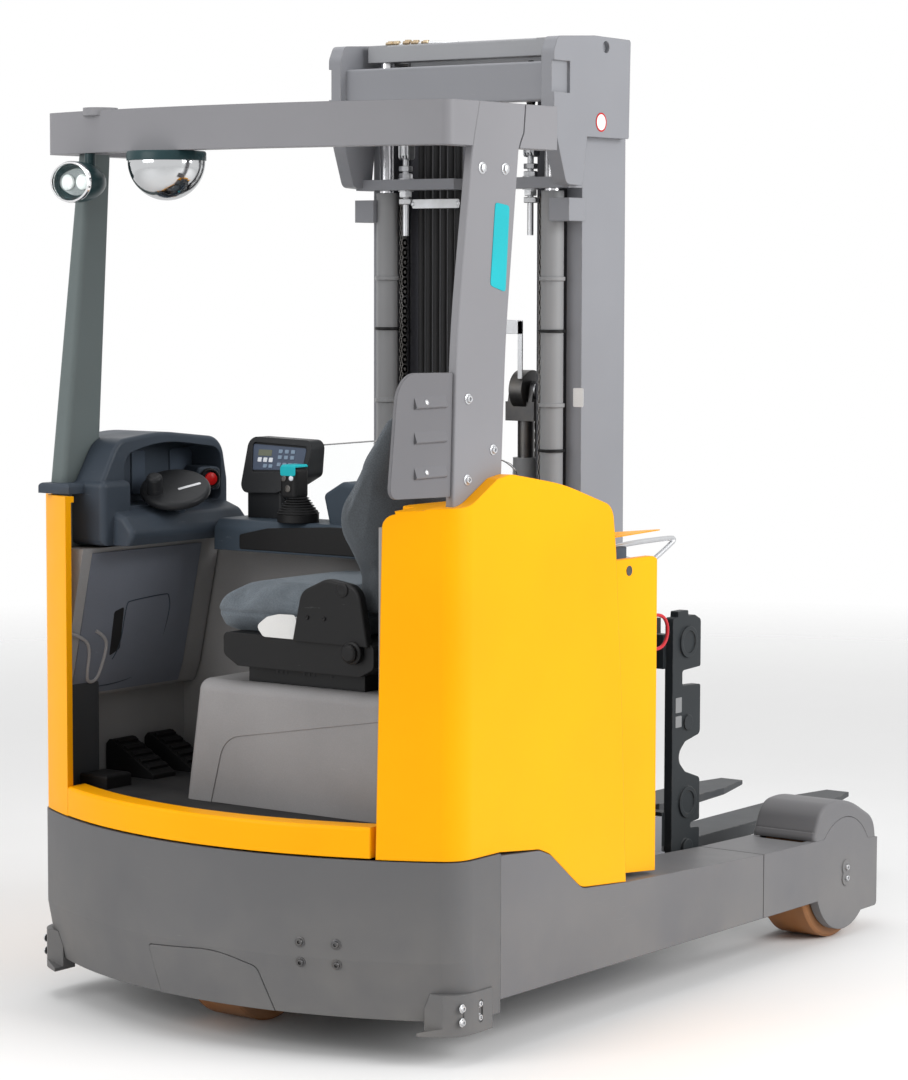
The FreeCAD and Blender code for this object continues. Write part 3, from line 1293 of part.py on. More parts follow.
# ---------------------------------------------------------------- fork carriage, side shifter, forks
def plate_outline():
    """(x, z) outline of the carriage's side plate, notched along its front edge."""
    rear = plate_rear_x
    front = plate_front_x
    slit = plate_low + 96
    bay = plate_low + 294
    window = plate_top - 163
    return [(rear, plate_low + 30, 20), (rear + 30, plate_low, 12), (front - 20, plate_low, 25),
            (front, plate_low + 30, 10), (front, slit - 2, 6), (front - 45, slit + 2, 6),
            (front - 45, slit + 16, 6),
            (front, slit + 20, 6), (front, bay - 66, 14), (front - 74, bay - 42, 22),
            (front - 120, bay, 30),
            (front - 74, bay + 38, 22), (front, bay + 52, 14), (front, window - 24, 6),
            (front - 90, window - 20, 8),
            (front - 90, window + 20, 8), (front, window + 24, 6), (front, plate_top - 14, 12),
            (front - 30, plate_top, 14), (front - 62, plate_top), (front - 64, plate_top + 15, 4),
            (front - 112, plate_top + 15, 4), (front - 114, plate_top), (rear, plate_top, 10)]


def make_lift_frame():
    """Roller uprights, two cross bars and the notched side plates with their round bosses."""
    upright = box((upright_rear_x, upright_out - upright_thick, upright_low),
                  (lift_bar_x + 5, upright_out, upright_top))
    roller_x = (inner_rear_x + inner_front_x) / 2
    roller_radius = (inner_front_x - inner_rear_x) / 2 - mast_flange - seat_gap
    rollers = [rod_y(roller_radius, roller_x, z, upright_out - 2,
                     inner_out - mast_web - 4) for z in carriage_roller_z]
    pieces = both_sides(fuse([upright] + rollers))
    inner = plate_half - plate_thick
    for z in lift_bar_z:
        pieces.append(box((lift_bar_x, -inner - 2, z), (lift_bar_x + lift_bar_thick, inner + 2,
                                                        z + lift_bar_height)))
    side = prism_y(plate_outline(), inner, plate_half)
    boss_x = (plate_rear_x + plate_front_x) / 2 + 6
    outer = plate_half + boss_rise
    boss_z = (plate_top - 69, plate_low + 170)
    bosses = [rod_y(boss_radius, boss_x, z, plate_half - 1, outer) for z in boss_z]
    bosses.append(rod_y(boss_radius / 2, boss_x, plate_low + 382, plate_half - 1, outer))
    cups = [rod_y(boss_radius - 12, boss_x, z, outer - 3, outer + 1) for z in boss_z]
    side = fuse([side] + bosses)
    for cup in cups:
        side = side.cut(cup)
    side = fuse([side, rod_y(foot_roller_radius, boss_x - 5, plate_low + 48, plate_half - 1, outer + 4)])
    return fuse(pieces + both_sides(side))


def make_shift_frame():
    half = plate_half - plate_thick - side_shift - moving_gap
    pieces = []
    for z in fork_bar_z:
        pieces.append(box((fork_bar_x, -half, z), (fork_bar_x + fork_bar_thick, half, z + fork_bar_height)))
        pieces.append(box((lift_bar_x + lift_bar_thick + seat_gap, -slide_pad_half, z + 12),
                          (fork_bar_x + 2, slide_pad_half, z + 60)))
    for y in (-60, 60):
        pieces.append(box((fork_bar_x, y - 15, fork_bar_z[0] + 90),
                          (fork_bar_x + 20, y + 15, fork_bar_z[1] + 10)))
    return fuse(pieces)


def make_fork(centre_y):
    """One fork: a hook over the upper bar, a shank, a round heel and a blade that tapers to its tip."""
    back = fork_face_x - fork_thick
    hook_z = fork_bar_z[1] + fork_bar_height + skin_gap
    low = fork_top - fork_thick
    outline = [(back, low, fork_heel + fork_thick), (fork_face_x + 300, low),
               (fork_tip_x, fork_top - fork_tip_thick, 4),
               (fork_tip_x, fork_top, 4), (fork_face_x, fork_top, fork_heel), (fork_face_x, hook_z + 10, 6),
               (fork_bar_x - 12, hook_z + 10), (fork_bar_x - 12, hook_z), (back, hook_z)]
    body = prism_y(outline, centre_y - fork_width / 2, centre_y + fork_width / 2)
    taper_x = fork_tip_x - fork_taper
    half = fork_width / 2 + loose_gap
    for side in (1, -1):
        taper = [(taper_x, side * half + centre_y), (fork_tip_x + 1, side * fork_tip_half + centre_y),
                 (fork_tip_x + 1, side * fork_width + centre_y), (taper_x, side * fork_width + centre_y)]
        body = body.cut(prism_z(taper, 0, guard_top))
    return body


# ---------------------------------------------------------------- write every piece
def chassis_parts():
    return {
        "chassis_frame": make_frame(),
        "rear_skirt": make_skirt(),
        "skirt_flap": make_flap(),
        "corner_brackets": make_brackets(),
        "side_cover_right": make_right_cover(),
        "side_cover_left": make_left_cover(),
        "rear_sill": make_sill(),
        "battery": make_battery(),
        "floor_plate": make_floor(),
        "cabin_lining": make_lining(),
        "pedals": make_pedals(),
        "dashboard": make_dashboard(),
        "side_console": make_console(),
        "display_pod": make_pod(),
        "joystick": make_joystick(),
        "clear_screen": make_screen(),
        "seat_hood": make_hood(),
        "seat_base": make_seat_base(),
        "seat_cushion": make_cushion(),
        "seat_backrest": make_backrest(),
        "guard_roof": make_roof(),
        "guard_pillar_right": make_right_pillar(),
        "guard_pillar_left": left_pillar(0),
        "shoulder_plate": make_shield(),
        "dome_mirror": make_mirror(),
        "work_lamp": make_lamp(),
        "drive_motor": make_motor(),
    }


def moving_parts():
    return {
        "drive_unit": make_drive_unit(),
        "steering_wheel": make_steering_wheel(),
        "reach_carriage": make_reach_carriage(),
        "outer_mast": make_outer_mast(),
        "lift_cylinders": make_cylinders(),
        "chain_anchors": make_anchors(),
        "lift_chains": make_chains(),
        "mast_hoses": make_hoses(),
        "middle_mast": make_middle_mast(),
        "lift_rods": make_lift_rods(),
        "inner_mast": make_inner_mast(),
        "free_lift_cylinder": make_free_barrel(),
        "free_lift_head": make_free_head(),
        "lift_frame": make_lift_frame(),
        "shift_frame": make_shift_frame(),
        "fork_left": make_fork(fork_spread),
        "fork_right": make_fork(-fork_spread),
    }


def main():
    os.makedirs("parts", exist_ok=True)
    for name, shape in list(chassis_parts().items()) + list(moving_parts().items()):
        save(name, shape)
    for name, shape in (("wheel_arm", make_arm()), ("wheel_cover", make_fender()),
                        ("battery_panel", make_battery_panel())):
        save(name + "_left", shape)
        save(name + "_right", mirrored(shape))
    hub, tyre = wheel_parts(drive_x, drive_y, drive_wheel_radius, drive_wheel_width, drive_axle_radius,
                            drive_tread)
    save("drive_wheel_hub", hub)
    save("drive_wheel_tyre", tyre)
    hub, tyre = wheel_parts(load_axle_x, half_width - arm_width / 2, load_wheel_radius, load_wheel_width,
                            load_axle_radius, load_tread)
    for piece, shape in (("hub", hub), ("tyre", tyre)):
        save("load_wheel_" + piece + "_left", shape)
        save("load_wheel_" + piece + "_right", mirrored(shape))


main()
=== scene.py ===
import math
import bmesh
import bpy
import numpy as np
from mathutils import Matrix, Vector


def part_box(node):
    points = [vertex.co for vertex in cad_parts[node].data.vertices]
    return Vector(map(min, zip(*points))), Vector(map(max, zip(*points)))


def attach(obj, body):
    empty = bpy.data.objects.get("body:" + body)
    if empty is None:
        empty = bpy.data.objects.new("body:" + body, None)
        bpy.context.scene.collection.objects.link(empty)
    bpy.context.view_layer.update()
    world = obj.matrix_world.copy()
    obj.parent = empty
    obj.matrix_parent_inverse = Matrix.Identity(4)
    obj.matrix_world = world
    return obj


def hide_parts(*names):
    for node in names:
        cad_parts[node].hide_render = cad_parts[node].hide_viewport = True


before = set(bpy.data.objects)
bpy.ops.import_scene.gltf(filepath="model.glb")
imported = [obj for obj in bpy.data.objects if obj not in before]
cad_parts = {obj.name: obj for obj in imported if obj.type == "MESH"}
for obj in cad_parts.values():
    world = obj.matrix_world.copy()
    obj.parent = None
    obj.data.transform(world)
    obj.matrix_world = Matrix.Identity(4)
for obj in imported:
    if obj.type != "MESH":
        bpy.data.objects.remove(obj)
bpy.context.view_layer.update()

# A reach truck: X runs to the fork tips, Y to its left, Z up, in metres, ground at Z = 0.
REAR, FRONT = Vector((-1, 0, 0)), Vector((1, 0, 0))
RIGHT, LEFT = Vector((0, -1, 0)), Vector((0, 1, 0))
DOWN, UP = Vector((0, 0, -1)), Vector((0, 0, 1))
TAIL_LINE = 1.25
scene = bpy.context.scene


def linked(name, data):
    """A new object of the scene that shows this data."""
    piece = bpy.data.objects.new(name, data)
    scene.collection.objects.link(piece)
    return piece


def at(x, y, z):
    """A point of the truck, with X measured from the line of its tail."""
    return Vector((x - TAIL_LINE, y, z))


# ------------------------------------------------------------ camera
def aim_camera(place, turn, pitch, roll, lens):
    """The camera at its place, turned from +X towards +Y, pitched up and rolled, in degrees."""
    data = bpy.data.cameras.new("view_camera")
    data.sensor_fit, data.sensor_height, data.lens = "VERTICAL", 36.0, lens
    data.clip_end = 200.0
    camera = linked("view_camera", data)
    turn, pitch, roll = math.radians(turn), math.radians(pitch), math.radians(roll)
    ahead = Vector((math.cos(turn) * math.cos(pitch), math.sin(turn) * math.cos(pitch), math.sin(pitch)))
    level = ahead.cross(UP).normalized()
    top = level.cross(ahead)
    side = level * math.cos(roll) + top * math.sin(roll)
    top = top * math.cos(roll) - level * math.sin(roll)
    camera.matrix_world = Matrix.Translation(place) @ Matrix((side, top, -ahead)).transposed().to_4x4()
    scene.camera = camera


aim_camera((-6.883, -4.775, 1.807), turn=36.09, pitch=-4.874, roll=0.129, lens=104.99)


# ------------------------------------------------------------ shader building
def add_node(tree, kind, inputs=None, **settings):
    """One shader node. An input is a value, or the output socket that feeds it."""
    node = tree.nodes.new("ShaderNode" + kind)
    for name, value in settings.items():
        setattr(node, name, value)
    for name, value in (inputs or {}).items():
        if isinstance(value, bpy.types.NodeSocket):
            tree.links.new(value, node.inputs[name])
        else:
            node.inputs[name].default_value = value
    return node


def maths(tree, operation, first, second=0.0):
    """The output of a Math node on two values or sockets."""
    return add_node(tree, "Math", {0: first, 1: second}, operation=operation).outputs[0]


def product(tree, first, second):
    return maths(tree, "MULTIPLY", first, second)


def total(tree, first, second):
    return maths(tree, "ADD", first, second)


def spread(tree, value, low, high, to_low=0.0, to_high=1.0):
    """Value from low to high, stretched to the range to_low to to_high and clamped there."""
    return add_node(tree, "MapRange", {"Value": value, "From Min": low, "From Max": high,
                                       "To Min": to_low, "To Max": to_high}).outputs["Result"]


def mix_colors(tree, factor, first, second, mode="MIX"):
    """The output of a colour mix, by the factor."""
    mix = add_node(tree, "Mix", {0: factor, 6: first, 7: second}, data_type="RGBA", blend_type=mode)
    return mix.outputs[2]


def noise(tree, scale, detail=2.0, stretch=(1, 1, 1), rough=0.5):
    """Noise laid on the piece's own coordinates, stretched along its axes."""
    coords = add_node(tree, "TexCoord").outputs["Object"]
    if stretch != (1, 1, 1):
        coords = add_node(tree, "Mapping", {"Vector": coords, "Scale": stretch}).outputs["Vector"]
    return add_node(tree, "TexNoise", {"Vector": coords, "Scale": scale, "Detail": detail,
                                       "Roughness": rough}).outputs["Fac"]


SOCKETS = {"Color": "NodeSocketColor", "Worn Color": "NodeSocketColor", "Upper Color": "NodeSocketColor"}


def effect(name, inputs, build):
    """A node group: named inputs with defaults, and the outputs Color, Roughness and Height."""
    tree = bpy.data.node_groups.new(name, "ShaderNodeTree")
    for label, default in inputs.items():
        kind = SOCKETS.get(label, "NodeSocketFloat")
        tree.interface.new_socket(label, in_out="INPUT", socket_type=kind).default_value = default
    for label in ("Color", "Roughness", "Height"):
        kind = SOCKETS.get(label, "NodeSocketFloat")
        tree.interface.new_socket(label, in_out="OUTPUT", socket_type=kind)
    given = tree.nodes.new("NodeGroupInput").outputs
    result = tree.nodes.new("NodeGroupOutput").inputs
    for label, value in zip(("Color", "Roughness", "Height"), build(tree, given)):
        tree.links.new(value, result[label])
    return tree


ROAD_DUST, SCUFFED = (0.30, 0.28, 0.25, 1), (0.42, 0.43, 0.44, 1)


def build_paint(tree, given):
    """Sprayed paint: faint mottling and peel, edges rubbed and lightened as a painted highlight, fine
    scratches and road dust low down.
    """
    place = add_node(tree, "TexCoord").outputs["Object"]
    height = add_node(tree, "SeparateXYZ", {"Vector": place}).outputs["Z"]
    # A colour split by height; the left pillar and the inner masts use it for painted shade below the
    # split.
    upper = maths(tree, "GREATER_THAN", height, given["Split Height"])
    color = mix_colors(tree, upper, given["Color"], given["Upper Color"])
    mottle = spread(tree, noise(tree, 1.9, 3.0), 0.3, 0.7, 0.93, 1.04)
    color = mix_colors(tree, 1.0, color, mottle, "MULTIPLY")
    # Bevelled edges take the worn colour, which is lighter than the paint: part rubbed wear, part painted
    # highlight.
    geometry = add_node(tree, "NewGeometry").outputs["Normal"]
    rounded = add_node(tree, "Bevel", {"Radius": 0.005}, samples=4).outputs["Normal"]
    flatness = add_node(tree, "VectorMath", {0: geometry, 1: rounded}, operation="DOT_PRODUCT")
    edge = spread(tree, flatness.outputs["Value"], 0.995, 0.90)
    patchy = spread(tree, noise(tree, 24.0, 5.0, rough=0.7), 0.46, 0.62)
    scratch = spread(tree, noise(tree, 9.0, 4.0, (1.0, 1.0, 22.0), 0.75), 0.66, 0.72)
    rare = spread(tree, noise(tree, 2.6, 2.0), 0.52, 0.66)
    rubbed_and_highlit = maths(tree, "MAXIMUM", product(tree, edge, patchy), product(tree, scratch, rare))
    rubbed_and_highlit = product(tree, rubbed_and_highlit, given["Wear And Highlight"])
    color = mix_colors(tree, rubbed_and_highlit, color, given["Worn Color"])
    low_down, patches = spread(tree, height, 0.5, 0.02), spread(tree, noise(tree, 5.0, 6.0), 0.3, 0.75)
    dust = product(tree, product(tree, low_down, patches), given["Dust"])
    color = mix_colors(tree, dust, color, ROAD_DUST)
    rough = total(tree, given["Roughness"], product(tree, noise(tree, 14.0, 4.0), 0.10))
    rough = total(tree, rough, product(tree, maths(tree, "MAXIMUM", dust, rubbed_and_highlit), 0.3))
    return color, rough, noise(tree, 170.0, 2.0)


def build_moulded(tree, given):
    """Moulded plastic: a leathery grain, slight blotches, and polish where it is touched."""
    coords = add_node(tree, "TexCoord").outputs["Object"]
    grain = {"Vector": coords, "Scale": given["Grain Scale"], "Randomness": 1.0}
    cells = add_node(tree, "TexVoronoi", grain, feature="SMOOTH_F1").outputs["Distance"]
    blotch = spread(tree, noise(tree, 3.1, 4.0), 0.3, 0.7, 0.88, 1.08)
    speck = spread(tree, cells, 0.0, 0.7, 0.94, 1.04)
    color = mix_colors(tree, 1.0, given["Color"], product(tree, blotch, speck), "MULTIPLY")
    scuff = spread(tree, noise(tree, 11.0, 5.0, (1.0, 1.0, 9.0), 0.72), 0.66, 0.76)
    color = mix_colors(tree, product(tree, scuff, 0.22), color, SCUFFED)
    touched = spread(tree, noise(tree, 6.0, 3.0), 0.3, 0.7, -0.08, 0.08)
    return color, total(tree, given["Roughness"], touched), cells


def build_metal(tree, given):
    """Bare or plated metal: fine brushing along Z, clouded polish and a little tarnish."""
    brushed = noise(tree, 120.0, 3.0, (1.0, 1.0, 0.06))
    cloud = spread(tree, noise(tree, 17.0, 5.0), 0.32, 0.7)
    tarnish = product(tree, cloud, given["Tarnish"])
    color = mix_colors(tree, tarnish, given["Color"], given["Worn Color"])
    rough = total(tree, given["Roughness"], spread(tree, brushed, 0.3, 0.7, -0.05, 0.07))
    rough = total(tree, rough, product(tree, cloud, 0.12))
    return color, rough, brushed


def build_woven(tree, given):
    """Upholstery cloth: warp and weft threads, a melange of thread colours and slight pilling."""
    coords = add_node(tree, "TexCoord").outputs["Object"]
    split = add_node(tree, "SeparateXYZ", {"Vector": coords}).outputs
    pitch = given["Thread Scale"]
    across = maths(tree, "SINE", product(tree, split["X"], pitch))
    along = maths(tree, "SINE", product(tree, total(tree, split["Y"], split["Z"]), pitch))
    weave = product(tree, across, along)
    melange = spread(tree, noise(tree, 420.0, 2.0), 0.35, 0.65, 0.78, 1.25)
    worn = spread(tree, noise(tree, 7.0, 3.0), 0.35, 0.7, 0.93, 1.1)
    threads = spread(tree, weave, -1.0, 1.0, 0.82, 1.12)
    shade = product(tree, product(tree, melange, worn), threads)
    color = mix_colors(tree, 1.0, given["Color"], shade, "MULTIPLY")
    return color, spread(tree, weave, -1.0, 1.0, 0.82, 0.96), total(tree, weave, noise(tree, 500.0))


def build_rubber(tree, given):
    """Rubber or polyurethane: dull bloom, dusty smears and a fine pitted skin."""
    bloom = spread(tree, noise(tree, 8.0, 5.0), 0.35, 0.7)
    dulled = product(tree, bloom, given["Bloom"])
    color = mix_colors(tree, dulled, given["Color"], given["Worn Color"])
    rough = total(tree, given["Roughness"], product(tree, bloom, 0.15))
    return color, rough, noise(tree, 380.0, 3.0)


GREY = (0.5, 0.5, 0.5, 1)
ABOVE_ALL = 99.0  # a split height that no piece reaches
THREADS = 2400.0  # how far the weave turns over a metre, in radians
sprayed_paint = effect("sprayed_paint", {"Color": GREY, "Worn Color": GREY, "Roughness": 0.4,
                                         "Wear And Highlight": 0.5, "Dust": 0.2, "Upper Color": GREY,
                                         "Split Height": ABOVE_ALL}, build_paint)
moulded_plastic = effect("moulded_plastic", {"Color": GREY, "Roughness": 0.5,
                                             "Grain Scale": 600.0}, build_moulded)
worked_metal = effect("worked_metal", {"Color": GREY, "Worn Color": GREY, "Roughness": 0.3,
                                       "Tarnish": 0.3}, build_metal)
woven_cloth = effect("woven_cloth", {"Color": GREY, "Thread Scale": THREADS}, build_woven)
aged_rubber = effect("aged_rubber", {"Color": GREY, "Worn Color": GREY, "Roughness": 0.6,
                                     "Bloom": 0.4}, build_rubber)


def finish_with(name, group, values, shader_values, bump, depth, soften=0.0):
    """A material: one effect group feeding the shader, a bump of its Height and softened edges."""
    material = bpy.data.materials.new(name)
    material.use_nodes = True
    tree = material.node_tree
    shader = tree.nodes["Principled BSDF"]
    surface = add_node(tree, "Group", node_tree=group)
    for label, value in values.items():
        surface.inputs[label].default_value = (*value, 1) if isinstance(value, tuple) else value
    tree.links.new(surface.outputs["Color"], shader.inputs["Base Color"])
    tree.links.new(surface.outputs["Roughness"], shader.inputs["Roughness"])
    relief = add_node(tree, "Bump", {"Strength": bump, "Distance": depth,
                                     "Height": surface.outputs["Height"]})
    if soften:
        rounded = add_node(tree, "Bevel", {"Radius": soften}, samples=4)
        tree.links.new(rounded.outputs["Normal"], relief.inputs["Normal"])
    tree.links.new(relief.outputs["Normal"], shader.inputs["Normal"])
    for label, value in shader_values.items():
        shader.inputs[label].default_value = value
    return material


def paint(name, color, roughness, wear_and_highlight, dust, worn=(0.32, 0.32, 0.32), upper=None, split=ABOVE_ALL,
          specular=0.22):
    """Sprayed paint; above the height split, where one is given, it has the upper colour."""
    # The worn colour is lighter than the paint and marks scratches and edges; on the edges it is partly a
    # painted highlight.
    values = {"Color": color, "Worn Color": worn, "Roughness": roughness, "Wear And Highlight": wear_and_highlight, "Dust": dust,
              "Upper Color": upper or color, "Split Height": split}
    return finish_with(name, sprayed_paint, values, bump=0.06, depth=0.0004, soften=0.004,
                       shader_values={"Specular IOR Level": specular})


def plastic(name, color, roughness, grain=650.0, bump=0.25, soften=0.003):
    """Moulded plastic with a leathery grain."""
    values = {"Color": color, "Roughness": roughness, "Grain Scale": grain}
    return finish_with(name, moulded_plastic, values, bump=bump, depth=0.0003, soften=soften,
                       shader_values={"Specular IOR Level": 0.2})


def metal(name, color, roughness, tarnish=0.25, worn=(0.25, 0.24, 0.22)):
    """Bare, plated or polished metal."""
    values = {"Color": color, "Worn Color": worn, "Roughness": roughness, "Tarnish": tarnish}
    return finish_with(name, worked_metal, values, bump=0.05, depth=0.0002, soften=0.001,
                       shader_values={"Metallic": 1.0})


def cloth(name, color, sheen):
    """Woven upholstery with a soft sheen."""
    return finish_with(name, woven_cloth, {"Color": color, "Thread Scale": THREADS}, bump=0.5, depth=0.0006,
                       shader_values={"Sheen Weight": sheen, "Sheen Roughness": 0.4,
                                      "Sheen Tint": (0.75, 0.85, 0.95, 1)})


def rubber(name, color, worn, roughness, bloom):
    """Rubber, or a hard wheel band, with its bloom."""
    values = {"Color": color, "Worn Color": worn, "Roughness": roughness, "Bloom": bloom}
    return finish_with(name, aged_rubber, values, bump=0.2, depth=0.0004, soften=0.002,
                       shader_values={"Specular IOR Level": 0.2})


def glass(name, color, ior):
    """Clear plastic or glass, faintly hazed by smears."""
    values = {"Color": color, "Worn Color": color, "Roughness": 0.02, "Bloom": 0.1}
    return finish_with(name, aged_rubber, values, bump=0.01, depth=0.0001,
                       shader_values={"Transmission Weight": 1.0, "IOR": ior})


def glowing(name, color, strength):
    """A lit surface."""
    material = plastic(name, color, 0.3, soften=0.0)
    shader = material.node_tree.nodes["Principled BSDF"]
    shader.inputs["Emission Color"].default_value = (*color, 1)
    shader.inputs["Emission Strength"].default_value = strength
    return material


# ------------------------------------------------------------ finishes of the truck
yellow_paint = paint("yellow_paint", (1.0, 0.415, 0.0003), 0.34, 0.10, 0.06, (0.9, 0.55, 0.12),
                     specular=0.11)
skirt_paint = paint("skirt_grey_paint", (0.120, 0.120, 0.124), 0.42, 0.35, 0.35, (0.24, 0.24, 0.24))
arm_paint = paint("wheel_arm_grey", (0.150, 0.149, 0.156), 0.42, 0.35, 0.35, (0.27, 0.27, 0.27))
guard_paint = paint("guard_grey_paint", (0.238, 0.236, 0.250), 0.40, 0.20, 0.0, (0.36, 0.36, 0.36))
# The left pillar is painted darker than the guard's grey as shade, and darker again below 1.13 m as a
# painted shadow under the knee panel.
shaded_left_pillar_paint = paint("shaded_left_pillar_grey", (0.045, 0.048, 0.052), 0.45, 0.2, 0.0,
                          upper=(0.125, 0.150, 0.150), split=1.13)
# The shoulder plate is the guard's grey painted darker, as painted shade.
shaded_shield_paint = paint("shaded_shield_grey_paint", (0.160, 0.158, 0.168), 0.40, 0.25, 0.0, (0.3, 0.3, 0.3))
mast_paint = paint("mast_grey_paint", (0.250, 0.255, 0.275), 0.38, 0.35, 0.1, (0.42, 0.42, 0.42))
# The inner and middle masts: the mast grey darkened into painted shade below 2.33 m; above it the crown
# keeps a light grey.
shaded_rail_paint = paint("inner_rail_shaded_grey", (0.070, 0.070, 0.080), 0.42, 0.7, 0.1, (0.30, 0.29, 0.27),
                   upper=(0.330, 0.335, 0.350), split=2.33)
cylinder_paint = paint("cylinder_grey", (0.260, 0.262, 0.268), 0.35, 0.2, 0.1)
carriage_paint = paint("carriage_dark_paint", (0.018, 0.022, 0.025), 0.42, 0.5, 0.1,
                       (0.12, 0.12, 0.12))
fork_paint = paint("fork_dark_paint", (0.036, 0.040, 0.045), 0.44, 0.9, 0.15, (0.22, 0.21, 0.20))
frame_paint = paint("frame_dark_grey", (0.085, 0.085, 0.090), 0.45, 0.4, 0.3)
battery_paint = paint("battery_case_paint", (0.05, 0.052, 0.055), 0.5, 0.5, 0.2)
# The lining's grey is raised as painted light on the cabin's inside.
lit_lining_plastic = plastic("lit_lining_grey_plastic", (0.285, 0.281, 0.281), 0.55)
knee_plastic = plastic("knee_panel_blue_grey", (0.155, 0.170, 0.203), 0.45, soften=0.002)
hood_plastic = plastic("hood_grey_plastic", (0.250, 0.244, 0.246), 0.48, 500.0, 0.2)
dash_plastic = plastic("dash_anthracite", (0.043, 0.055, 0.072), 0.45)
# Pale grey: the bead along the screen's edge, and round the knee pocket a painted rim highlight.
trim_and_rim_highlight_plastic = plastic("trim_and_rim_highlight_grey", (0.330, 0.325, 0.330), 0.45, soften=0.001)
recess_plastic = plastic("dash_recess_panel", (0.060, 0.078, 0.105), 0.45, soften=0.001)
console_plastic = plastic("console_anthracite", (0.040, 0.055, 0.073), 0.5)
pod_plastic = plastic("pod_dark_plastic", (0.019, 0.020, 0.022), 0.42)
black_plastic = plastic("black_plastic", (0.008, 0.008, 0.0085), 0.45)
floor_rubber = rubber("floor_mat_rubber", (0.018, 0.018, 0.019), (0.06, 0.058, 0.055), 0.65, 0.4)
hose_rubber = rubber("hose_rubber", (0.012, 0.012, 0.013), (0.04, 0.04, 0.04), 0.45, 0.3)
tyre_rubber = rubber("tyre_polyurethane", (0.33, 0.135, 0.045), (0.24, 0.17, 0.12), 0.45, 0.5)
# One cloth in two copies: the cushion lighter as painted light on its top, the backrest darker as painted
# shade.
lit_seat_cloth = cloth("lit_seat_cloth", (0.108, 0.127, 0.145), 0.45)
shaded_back_cloth = cloth("shaded_backrest_cloth", (0.050, 0.057, 0.064), 0.3)
bright_metal = metal("bright_zinc", (0.62, 0.63, 0.65), 0.28)
chrome = metal("chrome", (0.80, 0.80, 0.81), 0.04, 0.05, (0.7, 0.7, 0.7))
mirror_chrome = metal("dome_mirror_chrome", (0.56, 0.57, 0.58), 0.03, 0.05, (0.5, 0.5, 0.5))
rod_chrome = metal("rod_chrome", (0.62, 0.62, 0.64), 0.12, 0.10, (0.5, 0.5, 0.5))
dark_metal = metal("blackened_steel", (0.10, 0.10, 0.105), 0.35, 0.4, (0.2, 0.18, 0.15))
chain_metal = metal("oiled_chain_steel", (0.16, 0.155, 0.15), 0.38, 0.5, (0.06, 0.05, 0.04))
fitting_metal = metal("yellow_zinc", (0.46, 0.37, 0.25), 0.30, 0.45, (0.22, 0.14, 0.08))
cast_iron = paint("cast_hub_paint", (0.16, 0.16, 0.165), 0.5, 0.5, 0.4)
motor_paint = paint("motor_black", (0.03, 0.03, 0.032), 0.45, 0.3, 0.1)
clear_plastic = glass("clear_screen_plastic", (0.99, 1.0, 1.0), 1.1)
lens_glass = glass("lamp_lens_glass", (0.90, 0.93, 0.93), 1.14)
teal_plastic = plastic("teal_plastic", (0.012, 0.42, 0.47), 0.35, soften=0.0005)
red_plastic = plastic("red_plastic", (0.50, 0.010, 0.010), 0.3, soften=0.0005)
pale_plastic = plastic("pale_lever_plastic", (0.66, 0.66, 0.65), 0.45, soften=0.001)
white_key = plastic("white_key_plastic", (0.72, 0.75, 0.80), 0.4, soften=0.0003)
blue_key = plastic("blue_grey_key_plastic", (0.22, 0.29, 0.38), 0.4, soften=0.0003)
fascia_plastic = plastic("fascia_blue_grey", (0.075, 0.095, 0.140), 0.35, soften=0.0005)
display_plastic = plastic("display_grey_green", (0.15, 0.16, 0.12), 0.12, soften=0.0)
label_plate = plastic("blank_label_plate", (0.80, 0.79, 0.78), 0.35, soften=0.0)
vent_plastic = plastic("pale_vent_plastic", (0.62, 0.63, 0.62), 0.35, soften=0.0)
frame_plate = plastic("blank_frame_plate", (0.22, 0.225, 0.23), 0.35, soften=0.0)
bulb_glow = glowing("lit_bulb", (0.95, 0.96, 0.94), 0.25)
lamp_inside = plastic("lamp_housing_teal", (0.018, 0.045, 0.050), 0.3, soften=0.001)
lamp_bowl = metal("lamp_bowl_silver", (0.34, 0.36, 0.36), 0.30, 0.2, (0.2, 0.2, 0.2))
cell_plastic = plastic("battery_cell_grey", (0.10, 0.105, 0.11), 0.5, soften=0.001)
red_cable = rubber("red_cable_sleeve", (0.55, 0.02, 0.03), (0.4, 0.1, 0.1), 0.4, 0.2)

